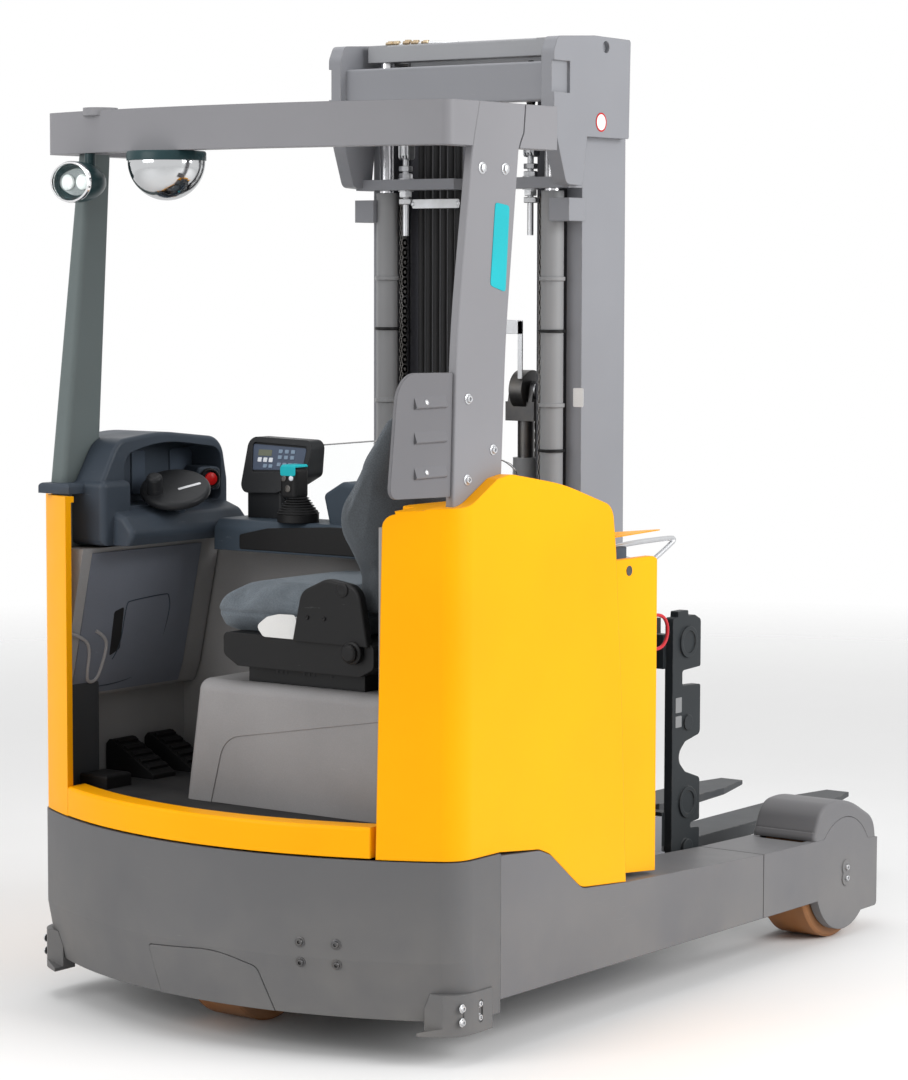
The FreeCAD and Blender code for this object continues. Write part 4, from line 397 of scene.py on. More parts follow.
NODE_FINISHES = (
    (battery_paint, "battery"),
    (yellow_paint, "battery_panel_left battery_panel_right side_cover_left side_cover_right rear_sill"),
    (lit_lining_plastic, "cabin_lining"),
    (hood_plastic, "seat_hood"),
    (bright_metal, "chain_anchors"),
    (frame_paint, "chassis_frame"),
    (clear_plastic, "clear_screen"),
    (skirt_paint, "corner_brackets rear_skirt skirt_flap"),
    (dash_plastic, "dashboard"),
    (pod_plastic, "display_pod steering_wheel"),
    (mirror_chrome, "dome_mirror"),
    (motor_paint, "drive_motor drive_unit"),
    (cast_iron, "drive_wheel_hub load_wheel_hub_left load_wheel_hub_right"),
    (tyre_rubber, "drive_wheel_tyre load_wheel_tyre_left load_wheel_tyre_right"),
    (floor_rubber, "floor_plate"),
    (fork_paint, "fork_left fork_right"),
    (cylinder_paint, "free_lift_cylinder lift_cylinders"),
    (dark_metal, "free_lift_head"),
    (shaded_left_pillar_paint, "guard_pillar_left"),
    (guard_paint, "guard_pillar_right guard_roof"),
    (shaded_shield_paint, "shoulder_plate"),
    (shaded_rail_paint, "inner_mast middle_mast"),
    (mast_paint, "outer_mast reach_carriage"),
    (black_plastic, "joystick pedals seat_base"),
    (chain_metal, "lift_chains"),
    (carriage_paint, "lift_frame shift_frame"),
    (rod_chrome, "lift_rods"),
    (hose_rubber, "mast_hoses"),
    (shaded_back_cloth, "seat_backrest"),
    (lit_seat_cloth, "seat_cushion"),
    (console_plastic, "side_console"),
    (arm_paint, "wheel_arm_left wheel_arm_right wheel_cover_left wheel_cover_right"),
    (lamp_inside, "work_lamp"))
for material, nodes in NODE_FINISHES:
    for node in nodes.split():
        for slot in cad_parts[node].material_slots:
            slot.link, slot.material = "OBJECT", material


# ------------------------------------------------------------ shape building
def aimed(point, direction, spin=0.0):
    """A place whose local Z points along direction, turned about it by spin degrees."""
    turn = direction.to_track_quat("Z", "Y").to_matrix().to_4x4()
    return Matrix.Translation(point) @ turn @ Matrix.Rotation(math.radians(spin), 4, "Z")


def facing(point, across, upwards):
    """A place whose local X runs across and local Y upwards; local Z looks out of the two."""
    out = across.cross(upwards).normalized()
    return Matrix.Translation(point) @ Matrix((across, out.cross(across), out)).transposed().to_4x4()


def lying(x, y, z):
    """A place at a point of the truck that faces up, with local X to the front."""
    return facing(at(x, y, z), FRONT, LEFT)


def to_rear(x, y, z):
    """A place at a point of the truck that faces the rear, with local Y up."""
    return facing(at(x, y, z), RIGHT, UP)


def to_right(x, y, z):
    """A place at a point of the truck that faces its right side, with local Y up."""
    return facing(at(x, y, z), FRONT, UP)


def stacked(rings, place):
    """Rings of equal length joined by a skin, with a face over each end: (corners, faces)."""
    count = len(rings[0])
    corners = [place @ Vector(p) for ring in rings for p in ring]
    faces = []
    for low in range(0, len(corners) - count, count):
        high = low + count
        faces += [(low + i, low + (i + 1) % count, high + (i + 1) % count, high + i) for i in range(count)]
    faces.append(tuple(range(count - 1, -1, -1)))
    faces.append(tuple(range(len(corners) - count, len(corners))))
    return corners, faces


TIP = 0.0001  # the radius at which a turned form closes


def turned(profile, place, sides, oval=1.0):
    """A turned form: profile gives (radius, height) from its foot to its top."""
    angles = [2 * math.pi * i / sides for i in range(sides)]
    rings = [[(radius * math.cos(a), radius * oval * math.sin(a), height) for a in angles]
             for radius, height in profile]
    return stacked(rings, place)


def hoop(profile, place, sides=40, oval=1.0):
    """A ring: the closed profile of (radius, height) carried round local Z."""
    corners, faces = turned(profile + [profile[0]], place, sides, oval)
    return corners, faces[:-2]


def rounded_outline(width, height, corner):
    """Corners of a rounded rectangle about its middle, anticlockwise."""
    points, steps = [], 4
    for quarter, (sx, sy) in enumerate(((1, 1), (-1, 1), (-1, -1), (1, -1))):
        for i in range(steps + 1):
            angle = math.radians(90 * quarter + 90 * i / steps)
            points.append((sx * (width / 2 - corner) + corner * math.cos(angle),
                           sy * (height / 2 - corner) + corner * math.sin(angle)))
    return points


def slab(outline, depth, place, edge=0.0005):
    """A plate with a small chamfer round its upper face, standing on local Z = 0."""
    count = len(outline)
    inner = []
    for i, (x, y) in enumerate(outline):
        before, after = Vector(outline[i - 1]), Vector(outline[(i + 1) % count])
        along = (after - before).normalized()
        inner.append((x - along.y * edge, y + along.x * edge))
    return stacked([[(x, y, 0.0) for x, y in outline], [(x, y, depth - edge) for x, y in outline],
                    [(x, y, depth) for x, y in inner]], place)


def softened(points, corner):
    """A polygon's outline with each corner rounded off."""
    outline, steps = [], 3
    for i, point in enumerate(points):
        here, before, after = Vector(point), Vector(points[i - 1]), Vector(points[(i + 1) % len(points)])
        start = here + (before - here).normalized() * corner
        end = here + (after - here).normalized() * corner
        for step in range(steps + 1):
            share = step / steps
            spot = start * (1 - share) ** 2 + here * (2 * share * (1 - share)) + end * share ** 2
            outline.append((spot.x, spot.y))
    return outline


def plate(width, height, depth, place, corner, edge=0.0005):
    """A rectangular plate with rounded corners, standing on the middle of its place."""
    return slab(rounded_outline(width, height, corner), depth, place, edge)


def smooth_line(name, points, fineness):
    """A curve that rounds the corners between these points."""
    curve = bpy.data.curves.new(name, "CURVE")
    curve.dimensions, curve.resolution_u = "3D", fineness
    spline = curve.splines.new("NURBS")
    spline.points.add(len(points) - 1)
    for spot, place in zip(spline.points, points):
        spot.co = (*place, 1.0)
    spline.order_u, spline.use_endpoint_u = 3, True
    return curve


def tube(points, radius, sides):
    """A round bar or hose on a smooth line through the bends of these points."""
    curve = smooth_line("tube_line", points, 8)
    curve.bevel_depth, curve.bevel_resolution, curve.use_fill_caps = radius, sides // 4, True
    holder = bpy.data.objects.new("tube_line", curve)
    mesh = bpy.data.meshes.new_from_object(holder)
    corners, faces = [v.co.copy() for v in mesh.vertices], [tuple(p.vertices) for p in mesh.polygons]
    bpy.data.objects.remove(holder)
    bpy.data.curves.remove(curve)
    bpy.data.meshes.remove(mesh)
    return corners, faces


def assemble(name, parts, material, body="chassis", crease=40.0):
    """One object made of several closed forms, in one finish, riding on a body of the truck."""
    corners, faces = [], []
    for part_corners, part_faces in parts:
        start = len(corners)
        corners += [tuple(c) for c in part_corners]
        faces += [[start + i for i in face] for face in part_faces]
    mesh = bpy.data.meshes.new(name)
    mesh.from_pydata(corners, [], faces)
    shape = bmesh.new()
    shape.from_mesh(mesh)
    bmesh.ops.remove_doubles(shape, verts=shape.verts, dist=1e-6)
    bmesh.ops.recalc_face_normals(shape, faces=shape.faces)
    shape.to_mesh(mesh)
    shape.free()
    mesh.shade_smooth()
    mesh.set_sharp_from_angle(angle=math.radians(crease))
    mesh.materials.append(material)
    piece = linked(name, mesh)
    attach(piece, body)
    return piece


def on_face(node, start, direction):
    """Where a line from start first meets a node's surface, and the way that the surface faces there."""
    found, point, normal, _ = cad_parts[node].ray_cast(start, direction)
    if not found:
        raise ValueError(f"no surface of {node} from {tuple(start)}")
    return point, normal


def seated(point, normal, across):
    """A place on a surface: local Z along its normal, local X the nearest way to across."""
    normal = normal.normalized()
    across = (across - normal * normal.dot(across)).normalized()
    return Matrix.Translation(point) @ Matrix((across, normal.cross(across), normal)).transposed().to_4x4()


def link_outline(pitch, eye, waist):
    """Side view of one chain plate: two round eyes joined by a waist."""
    points, steps = [], 5
    for end, base in ((pitch / 2, -90), (-pitch / 2, 90)):
        for i in range(steps + 1):
            angle = math.radians(base + 180 * i / steps)
            points.append((end + eye * math.cos(angle), eye * math.sin(angle)))
        points.append((0.0, waist if base < 0 else -waist))
    return points


LINK_PITCH, LINK_EYE, LINK_THICK, LINK_SPACING = 0.0254, 0.0105, 0.0030, 1.12


def leaf_chain(foot, rise, eye=LINK_EYE, rows=5):
    """A leaf chain up from its foot: plates in rows across the truck, every second row half a pitch up."""
    parts = []
    outline = link_outline(LINK_PITCH, eye, eye * 0.62)
    step_y = LINK_THICK * LINK_SPACING
    pin, wide = eye * 0.42, rows * step_y + 0.002
    for step in range(int(rise / LINK_PITCH)):
        middle = foot + UP * (LINK_PITCH * (step + 0.5))
        for row in range(rows):
            shift = LINK_PITCH / 2 if row % 2 else 0.0
            spot = middle + UP * shift + LEFT * ((row - (rows - 1) / 2) * step_y - LINK_THICK / 2)
            parts.append(slab(outline, LINK_THICK, facing(spot, UP, FRONT), LINK_THICK * 0.15))
        pin_place = aimed(middle - UP * LINK_PITCH / 2, LEFT)
        parts.append(turned([(pin, -wide / 2), (pin, wide / 2)], pin_place, 8))
    return parts


def cap_screw(point, direction, radius, washer=True):
    """A socket-head screw on a washer."""
    place = aimed(point, direction)
    head = [(radius, 0.0), (radius, radius * 0.75), (radius * 0.88, radius * 0.9),
            (radius * 0.5, radius * 0.9), (radius * 0.46, radius * 0.35), (TIP, radius * 0.35)]
    ring = [(radius * 1.45, 0.0), (radius * 1.45, radius * 0.18), (radius * 1.3, radius * 0.24),
            (radius * 0.9, radius * 0.24)]
    return [turned(head, place, 20)] + ([turned(ring, place, 24)] if washer else [])


def hex_screw(point, direction, radius, spin=0.0):
    """A hexagon head on a flanged washer."""
    place = aimed(point, direction, spin)
    head = [(radius, 0.0), (radius, radius * 0.62), (radius * 0.86, radius * 0.72), (TIP, radius * 0.74)]
    flange = [(radius * 1.3, 0.0), (radius * 1.3, radius * 0.12), (radius * 1.05, radius * 0.2),
              (TIP, radius * 0.2)]
    return [turned(head, place, 6), turned(flange, place, 24)]


# ------------------------------------------------------------ seat upholstery
def settled(piece):
    """The piece's mesh with its modifiers applied."""
    bpy.context.view_layer.update()
    shaped = piece.evaluated_get(bpy.context.evaluated_depsgraph_get())
    mesh = bpy.data.meshes.new_from_object(shaped)
    piece.modifiers.clear()
    old, piece.data = piece.data, mesh
    bpy.data.meshes.remove(old)
    return piece


def rows_of(items, label):
    """One row of three numbers for each of these mesh items."""
    values = np.zeros(len(items) * 3)
    items.foreach_get(label, values)
    return values.reshape(-1, 3)


def corners_of(mesh):
    """Where each corner of the mesh is."""
    return rows_of(mesh.vertices, "co")


PAD_PRESSURE, PAD_STIFFNESS, PAD_SWELL, PAD_PROUD = 3.0, 12.0, 0.020, 0.004
PAD_CELL, PAD_SMOOTHINGS, CLOTH_FRAMES = 0.006, 16, 20


def swollen_pad(node, name, shrink):
    """The foam pad that fills a soft node's space: remeshed, swollen by cloth pressure and smoothed."""
    low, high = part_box(node)
    middle = np.array((low + high) / 2)
    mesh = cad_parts[node].data.copy()
    mesh.materials.clear()
    sides = np.array(high - low)
    start = middle + (corners_of(mesh) - middle) * (1 - 2 * shrink / sides)
    mesh.vertices.foreach_set("co", start.ravel())
    pad = linked(name, mesh)
    remesh = pad.modifiers.new("even_cells", "REMESH")
    remesh.mode, remesh.voxel_size = "VOXEL", PAD_CELL
    settled(pad)
    before = corners_of(pad.data)
    fabric = pad.modifiers.new("fabric", "CLOTH")
    fabric.settings.use_pressure = True
    fabric.settings.uniform_pressure_force = PAD_PRESSURE
    fabric.settings.effector_weights.gravity = 0.0
    fabric.settings.tension_stiffness = fabric.settings.compression_stiffness = PAD_STIFFNESS
    fabric.point_cache.frame_start, fabric.point_cache.frame_end = 1, CLOTH_FRAMES
    for step in range(1, CLOTH_FRAMES + 1):
        scene.frame_set(step)
    settled(pad)
    scene.frame_set(1)
    moved = corners_of(pad.data) - before
    reach = np.linalg.norm(moved, axis=1, keepdims=True)
    moved *= np.minimum(1.0, PAD_SWELL / np.maximum(reach, 1e-9))
    pad.data.vertices.foreach_set("co", (before + moved).ravel())
    smooth = pad.modifiers.new("smoothed", "SMOOTH")
    smooth.factor, smooth.iterations = 0.5, PAD_SMOOTHINGS
    finer = pad.modifiers.new("finer", "SUBSURF")
    finer.levels = finer.render_levels = 1
    return settled(pad)


def dress_pad(pad, node, seams, material):
    """Sews the seams, keeps the pad in its node's space, and gives it its cloth."""
    low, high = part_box(node)
    places, normals = corners_of(pad.data), rows_of(pad.data.vertex_normals, "vector")
    for distance, width, depth in seams(places, low, high):
        places = places - normals * np.exp(-(distance / width) ** 2)[:, None] * depth
    places = np.clip(places, np.array(low), np.array(high) + PAD_PROUD)
    pad.data.vertices.foreach_set("co", places.ravel())
    pad.data.update()
    pad.data.materials.clear()
    pad.data.materials.append(material)
    pad.data.shade_smooth()
    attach(pad, "chassis")
    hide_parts(node)


def cushion_seams(places, low, high):
    """Two lengthwise channels, one across near the nose, and the welt round the side."""
    middle_x, half = (low.x + high.x) / 2, (high.x - low.x) / 2
    aside, panel = np.abs(places[:, 0] - middle_x), half * 0.62
    top = places[:, 2] > low.z + 0.06
    nose = places[:, 1] - (high.y - 0.105) + 0.25 * aside ** 2 / half
    yield np.where(top, aside - panel, 1.0), 0.007, 0.007
    yield np.where(top & (aside < panel), nose, 1.0), 0.007, 0.006
    yield places[:, 2] - (low.z + 0.045), 0.005, 0.004


def backrest_seams(places, low, high):
    """Two upright channels and two across in the middle panel."""
    aside, panel = np.abs(places[:, 0] - (low.x + high.x) / 2), (high.x - low.x) / 2 * 0.60
    face = places[:, 1] > low.y + 0.06
    yield np.where(face, aside - panel, 1.0), 0.007, 0.007
    for share in (0.38, 0.66):
        across = places[:, 2] - (low.z + (high.z - low.z) * share)
        yield np.where(face & (aside < panel), across, 1.0), 0.006, 0.005


dress_pad(swollen_pad("seat_cushion", "cushion_pad", 0.008), "seat_cushion", cushion_seams, lit_seat_cloth)
dress_pad(swollen_pad("seat_backrest", "backrest_pad", 0.009), "seat_backrest", backrest_seams, shaded_back_cloth)


# ------------------------------------------------------------ rear skirt, arms and covers
screws = []
for y in (-0.300, -0.385):
    for z in (0.228, 0.275):
        screws += cap_screw(*on_face("rear_skirt", at(-0.5, y, z), FRONT), 0.0085)
assemble("skirt_screws", screws, dark_metal)

BRACKET_FACE_Y, ARM_FACE_Y = 0.6435, 0.648
tyre_low, tyre_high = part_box("load_wheel_tyre_right")
axle = (tyre_low + tyre_high) / 2
bracket_screws, axle_screws = [], []
for side in (RIGHT, LEFT):
    for x in (0.070, 0.136):
        for z in (0.105, 0.137):
            bracket_screws += cap_screw(at(x, side.y * BRACKET_FACE_Y, z), side, 0.0072)
    for lift in (-0.015, 0.015):
        seat = Vector((axle.x + 0.010, side.y * ARM_FACE_Y, axle.z + lift))
        axle_screws += cap_screw(seat, side, 0.0075, washer=False)
assemble("bracket_screws", bracket_screws, bright_metal)
assemble("axle_lock_screws", axle_screws, bright_metal)

# ------------------------------------------------------------ guard, pillars and shield
rivets = []
for z in (1.361, 1.517):
    rivets.append(turned([(0.0068, -0.001), (0.0062, 0.0018), (0.0042, 0.0032), (TIP, 0.0038)],
                         aimed(*on_face("shoulder_plate", at(-0.019, -0.8, z), LEFT)), 20))
assemble("louvre_rivets", rivets, bright_metal)

pillar_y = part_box("guard_pillar_right")[0].y
screws = []
for x, z in ((0.132, 1.520), (0.230, 1.401), (0.129, 1.337)):
    screws += cap_screw(at(x, pillar_y, z), RIGHT, 0.0085)
for x in (0.184, 0.274):
    screws += hex_screw(at(x, pillar_y, 2.040), RIGHT, 0.0105, 15.0)
assemble("pillar_screws", screws, bright_metal)
outline = softened([(0.216, 1.775), (0.276, 1.760), (0.291, 1.957), (0.235, 1.964)], 0.010)
assemble("pillar_teal_plate", [slab(outline, 0.0015, to_right(0.0, pillar_y, 0.0))],
         teal_plastic)

# ------------------------------------------------------------ work lamp and mirror
LAMP_RADIUS, LAMP_OVAL = 0.0560, 0.765
lamp_low, lamp_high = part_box("work_lamp")
lamp_face = facing((lamp_low.x, (lamp_low.y + lamp_high.y) / 2, lamp_low.z + 0.049), RIGHT, UP)
rim = hoop([(LAMP_RADIUS, -0.002), (0.0645, -0.002), (0.0655, 0.001), (0.0630, 0.006), (0.0580, 0.007),
            (LAMP_RADIUS, 0.002)], lamp_face, 48, LAMP_OVAL)
# The bowl stays open where the lens closes it.
corners, faces = turned([(LAMP_RADIUS, -0.0005), (0.0500, -0.012), (0.0420, -0.0185), (TIP, -0.0192)],
                        lamp_face, 48, LAMP_OVAL)
open_bowl = (corners, faces[:-2] + faces[-1:])
assemble("lamp_bowl", [open_bowl], lamp_bowl)
assemble("lamp_rim", [rim], chrome)
lens = turned([(LAMP_RADIUS, -0.001), (LAMP_RADIUS, 0.002), (0.0430, 0.0055), (0.0250, 0.0075),
               (TIP, 0.0085)], lamp_face, 40, LAMP_OVAL)
assemble("lamp_lens", [lens], lens_glass)
bulbs = [turned([(0.017, -0.019), (0.018, -0.012), (0.014, -0.008), (TIP, -0.006)],
                lamp_face @ Matrix.Translation((shift, 0, 0)), 24) for shift in (-0.023, 0.023)]
assemble("lamp_bulbs", bulbs, bulb_glow)

cup = turned([(0.0925, 0.0), (0.0945, 0.001), (0.0945, 0.018), (0.0920, 0.0225), (TIP, 0.0238)],
             aimed(at(0.029, 0.197, 2.0660), UP), 64)
assemble("mirror_cup", [cup], lamp_inside)
strap = plate(0.050, 0.018, 0.003, lying(0.010, 0.197, 2.0855), 0.003)
assemble("mirror_strap", [strap], bright_metal)

# ------------------------------------------------------------ mast: chains, nuts, fittings and blank plates
ANCHOR_X, ANCHOR_Y, ANCHOR_PIN_Z, NUT_RADIUS = 0.972, 0.198, 2.138, 0.0178
ANCHOR_NUTS = (2.0455, 0.015, 10), (1.9985, 0.018, 35), (1.9805, 0.015, 20), (2.0660, 0.014, 0)
nuts, combs, washers, chains = [], [], [], []
for side in (RIGHT, LEFT):
    y = side.y * ANCHOR_Y
    for low, tall, spin in ANCHOR_NUTS:
        profile = [(0.0160, 0.0), (NUT_RADIUS, 0.0015), (NUT_RADIUS, tall - 0.0015), (0.0160, tall)]
        nuts.append(turned(profile, aimed(at(ANCHOR_X, y, low), UP, spin), 6))
    for z in (2.0452, 2.0143):
        washers.append(turned([(0.0205, 0.0), (0.0205, 0.0025)], aimed(at(ANCHOR_X, y, z), UP), 28))
    for row in range(4):
        place = to_right(ANCHOR_X, y - 0.0155 + row * 0.0095, 2.124)
        combs.append(plate(0.030, 0.056, 0.0032, place, 0.010))
    pin_place = aimed(at(ANCHOR_X, y, ANCHOR_PIN_Z), LEFT)
    combs.append(turned([(0.0045, -0.022), (0.0045, 0.022)], pin_place, 12))
    chains += leaf_chain(at(ANCHOR_X, y, ANCHOR_PIN_Z), 0.18)
assemble("anchor_nuts", nuts + washers, bright_metal, "outer_mast")
assemble("anchor_combs", combs, bright_metal, "outer_mast")
assemble("anchor_chains", chains, chain_metal, "outer_mast")

chain_low, chain_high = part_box("lift_chains")
chains = []
for side in (RIGHT, LEFT):
    foot = Vector(((chain_low.x + chain_high.x) / 2, side.y * 0.221, chain_low.z + 0.004))
    chains += leaf_chain(foot, chain_high.z - chain_low.z - 0.02, eye=0.0118, rows=3)
leaf = assemble("lift_leaf_chains", chains, chain_metal, "outer_mast")
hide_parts("lift_chains")

bands = []
for side in (RIGHT, LEFT):
    for z in (1.354, 1.657, 0.960):
        bands.append(hoop([(0.0325, -0.004), (0.0350, -0.003), (0.0350, 0.003), (0.0325, 0.004)],
                          aimed(at(0.978, side.y * 0.262, z), UP)))
assemble("cylinder_bands", bands, black_plastic, "outer_mast")
CLAMP_X, CLAMP_Y, CLAMP_THICK = 0.977, 0.104, 0.003
clamps = []
for z in (1.982, 1.12):
    clamps.append(plate(0.150, 0.024, CLAMP_THICK, to_rear(CLAMP_X, CLAMP_Y, z), 0.004))
    for y in (CLAMP_Y - 0.072, CLAMP_Y + 0.072):
        clamps += hex_screw(at(CLAMP_X - CLAMP_THICK, y, z), REAR, 0.0052)
assemble("hose_clamp_plates", clamps, bright_metal, "outer_mast")

PIPE_X = 0.950
fittings = []
for y, size in ((0.232, 0.0085), (0.212, 0.0085), (0.176, 0.0100), (0.150, 0.0085), (0.118, 0.0070)):
    profile = [(size * 0.7, -0.010), (size, -0.009), (size, 0.004), (size * 0.7, 0.006),
               (size * 0.62, 0.012)]
    fittings.append(turned(profile, aimed(at(PIPE_X, y, 2.3935 + size * 0.2), LEFT), 6))
assemble("pipe_fittings", fittings, fitting_metal, "middle_mast")
pipe = tube([at(PIPE_X, 0.246, 2.392), at(PIPE_X, 0.17, 2.394), at(PIPE_X + 0.002, 0.06, 2.394),
             at(PIPE_X + 0.008, 0.02, 2.391)], 0.0042, 12)
assemble("fitting_pipe", [pipe], bright_metal, "middle_mast")

round_place = aimed(*on_face("outer_mast", at(1.058, -0.8, 2.183), LEFT))
blanks = [plate(0.031, 0.048, 0.0008, to_rear(1.0088, -0.3225, 1.489), 0.003, 0.0002),
          turned([(0.0205, 0.0), (0.0205, 0.0007), (0.0200, 0.0009)], round_place, 40)]
assemble("mast_blank_plates", blanks, label_plate, "outer_mast")
ring = hoop([(0.0200, 0.0), (0.0240, 0.0), (0.0240, 0.0011), (0.0200, 0.0011)], round_place)
assemble("mast_plate_ring", [ring], red_plastic, "outer_mast")

# The pulley that lifts the carriage: its pin and guard, and the chain down to its anchor.
pin = turned([(0.024, 0.0), (0.024, 0.004), (0.020, 0.006), (TIP, 0.006)],
             aimed(*on_face("free_lift_head", at(1.112, -0.30, 1.500), LEFT)), 32)
assemble("pulley_pin_cap", [pin], bright_metal, "free_lift_head")
GUARD_X, GUARD_THICK = 1.066, 0.004
guard = [plate(0.014, 0.150, GUARD_THICK, to_rear(GUARD_X, -0.104, 1.605), 0.003),
         plate(0.056, 0.036, GUARD_THICK, to_rear(GUARD_X, -0.083, 1.664), 0.003)]
assemble("chain_guard_strip", guard, bright_metal, "free_lift_head")
CHAIN_X, CHAIN_Y = 1.170, -0.090
chain = leaf_chain(at(CHAIN_X, CHAIN_Y, 1.175), 0.31)
assemble("free_lift_chain", chain, chain_metal, "free_lift_head")
anchor = [turned([(0.0060, 0.0), (0.0060, 0.105)], aimed(at(CHAIN_X, CHAIN_Y, 1.070), UP), 16),
          plate(0.055, 0.060, 0.008, lying(CHAIN_X - 0.006, CHAIN_Y, 1.112), 0.008, 0.001)]
anchor += [turned([(0.0115, 0.0), (0.0115, 0.012)], aimed(at(CHAIN_X, CHAIN_Y, z), UP, spin), 6)
           for z, spin in ((1.083, 0), (1.097, 20))]
assemble("free_lift_chain_anchor", anchor, dark_metal, "free_lift_head")

# ------------------------------------------------------------ steering disc and dash recess
steer_axis = Vector((-0.372, -0.271, 0.888)).normalized()
above_disc = at(0.320, 0.382, 1.262) + steer_axis * 0.2
stripe_place = seated(*on_face("steering_wheel", above_disc, -steer_axis), Vector((1.0, -0.4, 0.0)))
assemble("steering_stripe", [plate(0.062, 0.009, 0.0012, stripe_place, 0.003, 0.0003)], bright_metal,
         "steering_wheel")
recess = []
for x, wide in ((0.313, 0.050), (0.476, 0.086)):
    place = seated(*on_face("dashboard", at(x, 0.30, 1.300), LEFT), FRONT)
    recess.append(plate(wide, 0.112, 0.005, place, 0.010, 0.0015))
assemble("dash_recess_panels", recess, recess_plastic)
stop_place = to_right(0.474, 0.452, 1.280) @ Matrix.Rotation(math.radians(-28), 4, "Y")
housing = plate(0.062, 0.060, 0.100, stop_place @ Matrix.Translation((0, 0, -0.096)), 0.012, 0.004)
assemble("stop_switch_housing", [housing], dash_plastic)
collar = hoop([(0.0265, 0.002), (0.0265, 0.014), (0.0240, 0.017), (0.0205, 0.016), (0.0195, 0.002)],
              stop_place)
assemble("stop_switch_collar", [collar], black_plastic)
button = turned([(0.0100, 0.002), (0.0100, 0.009), (0.0155, 0.013), (0.0165, 0.018), (0.0155, 0.022),
                 (0.0095, 0.0245), (TIP, 0.025)], stop_place, 36)
assemble("stop_switch_button", [button], red_plastic)

# ------------------------------------------------------------ display, keys and joystick
FASCIA_THICK, KEY_TALL = 0.0022, 0.0016
screen = seated(*on_face("display_pod", at(0.30, 0.237, 1.338), FRONT), RIGHT)


def key_place(u, v):
    """A place on the display's fascia, u to the right and v up from its middle."""
    return screen @ Matrix.Translation((u, v, FASCIA_THICK))


fascia = softened([(-0.085, -0.03299), (0.079, -0.027835), (0.083, 0.027835), (-0.095, 0.03402)], 0.008)
assemble("display_fascia", [slab(fascia, FASCIA_THICK, screen)], fascia_plastic)
assemble("display_window", [plate(0.044, 0.016, 0.0008, key_place(-0.048, 0.012), 0.002)], display_plastic)
pale_keys = [plate(0.0125, 0.0115, KEY_TALL, key_place(u, -0.006), 0.002) for u in (-0.062, -0.044, -0.026)]
assemble("display_white_keys", pale_keys, white_key)
spots = [(-0.042, -0.0215), (-0.024, -0.0215)]
spots += [(u, v) for v in (0.017, 0.002) for u in (0.002, 0.022, 0.042)]
spots += [(u, -0.0165) for u in (0.002, 0.020, 0.038, 0.056)]
assemble("display_grey_keys", [plate(0.0125, 0.0095, KEY_TALL, key_place(u, v), 0.002) for u, v in spots],
         blue_key)

console_side = softened([(-0.286, 1.114), (0.232, 1.114), (0.232, 1.182), (0.002, 1.182), (-0.195, 1.170),
                         (-0.286, 1.150)], 0.006)
side_place = to_rear(0.4002, 0.0, 0.0)
assemble("console_dark_side", [slab(console_side, 0.003, side_place, 0.001)], black_plastic)
edge_line = [on_face("clear_screen", at(0.558, y, 1.60), DOWN)[0] for y in np.linspace(0.330, -0.445, 32)]
assemble("screen_edge_trim", [tube(edge_line, 0.0018, 8)], trim_and_rim_highlight_plastic)

GRIP_X, GRIP_Y, GRIP_REAR_X = 0.440, 0.143, 0.4128
grip_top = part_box("joystick")[1].z
cap_outline = softened([(-0.029, -0.026), (0.026, -0.026), (0.026, 0.022), (-0.029, 0.022)], 0.008)
cap = [slab(cap_outline, 0.006, lying(GRIP_X, GRIP_Y, grip_top - 0.0005), 0.003),
       plate(0.046, 0.024, 0.004, to_rear(0.4135, 0.141, grip_top - 0.010), 0.005, 0.001)]
assemble("joystick_teal_cap", cap, teal_plastic)
button = turned([(0.0062, 0.0), (0.0062, 0.003), (0.0045, 0.0045), (TIP, 0.005)],
                aimed(at(GRIP_REAR_X, GRIP_Y - 0.013, 1.296), REAR), 24)
assemble("joystick_white_button", [button], white_key)
RING_PROFILE = [(0.0085, 0.0), (0.0085, 0.0022), (0.0060, 0.0026), (0.0055, 0.0008), (TIP, 0.0008)]
rings = [turned(RING_PROFILE, aimed(at(GRIP_REAR_X, y, z), REAR), 28)
         for y, z in ((GRIP_Y + 0.012, 1.296), (GRIP_Y - 0.002, 1.270))]
assemble("joystick_rings", rings, dark_metal)
folds = []
for fold in range(7):
    wide, low = 0.052 - 0.0042 * fold, 1.206 + 0.0062 * fold
    profile = [(wide - 0.004, low), (wide + 0.0012, low + 0.0022), (wide + 0.0012, low + 0.0034),
               (wide - 0.006, low + 0.0058)]
    folds.append(turned(profile, Matrix.Translation(at(GRIP_X, 0.131, 0.0)), 44))
assemble("joystick_bellows", folds, hose_rubber)

# ------------------------------------------------------------ seat lever, knobs and rails
lever = softened([(0.0, 0.018), (0.026, 0.037), (0.060, 0.045), (0.104, 0.046), (0.106, 0.002),
                  (0.014, 0.002)], 0.004)
lever_place = to_rear(0.0985, -0.043, 0.951)
assemble("seat_lever", [slab(lever, 0.020, lever_place, 0.007)], pale_plastic)


def on_seat_base(y, z):
    """Where the side of the seat's base that faces the rear is, and the way that it faces."""
    return on_face("seat_base", at(-0.3, y, z), FRONT)


knob_place = aimed(on_seat_base(-0.328, 0.928)[0], REAR)
knobs = []
for radius, reach in ((0.027, 0.018), (0.021, 0.030)):
    profile = [(radius * 0.86, 0.0), (radius, 0.003), (radius, reach - 0.004), (radius * 0.8, reach),
               (TIP, reach + 0.001)]
    knobs.append(turned(profile, knob_place, 28))
assemble("seat_knob", knobs, black_plastic)
caps = []
for y, z, radius in ((-0.300, 1.072, 0.0165), (-0.196, 1.002, 0.005), (-0.246, 1.002, 0.005)):
    caps.append(turned([(radius, 0.0), (radius, 0.002), (radius * 0.8, 0.0035), (radius * 0.45, 0.0022),
                        (TIP, 0.0022)], aimed(*on_seat_base(y, z)), 32))
assemble("recliner_caps", caps, black_plastic)
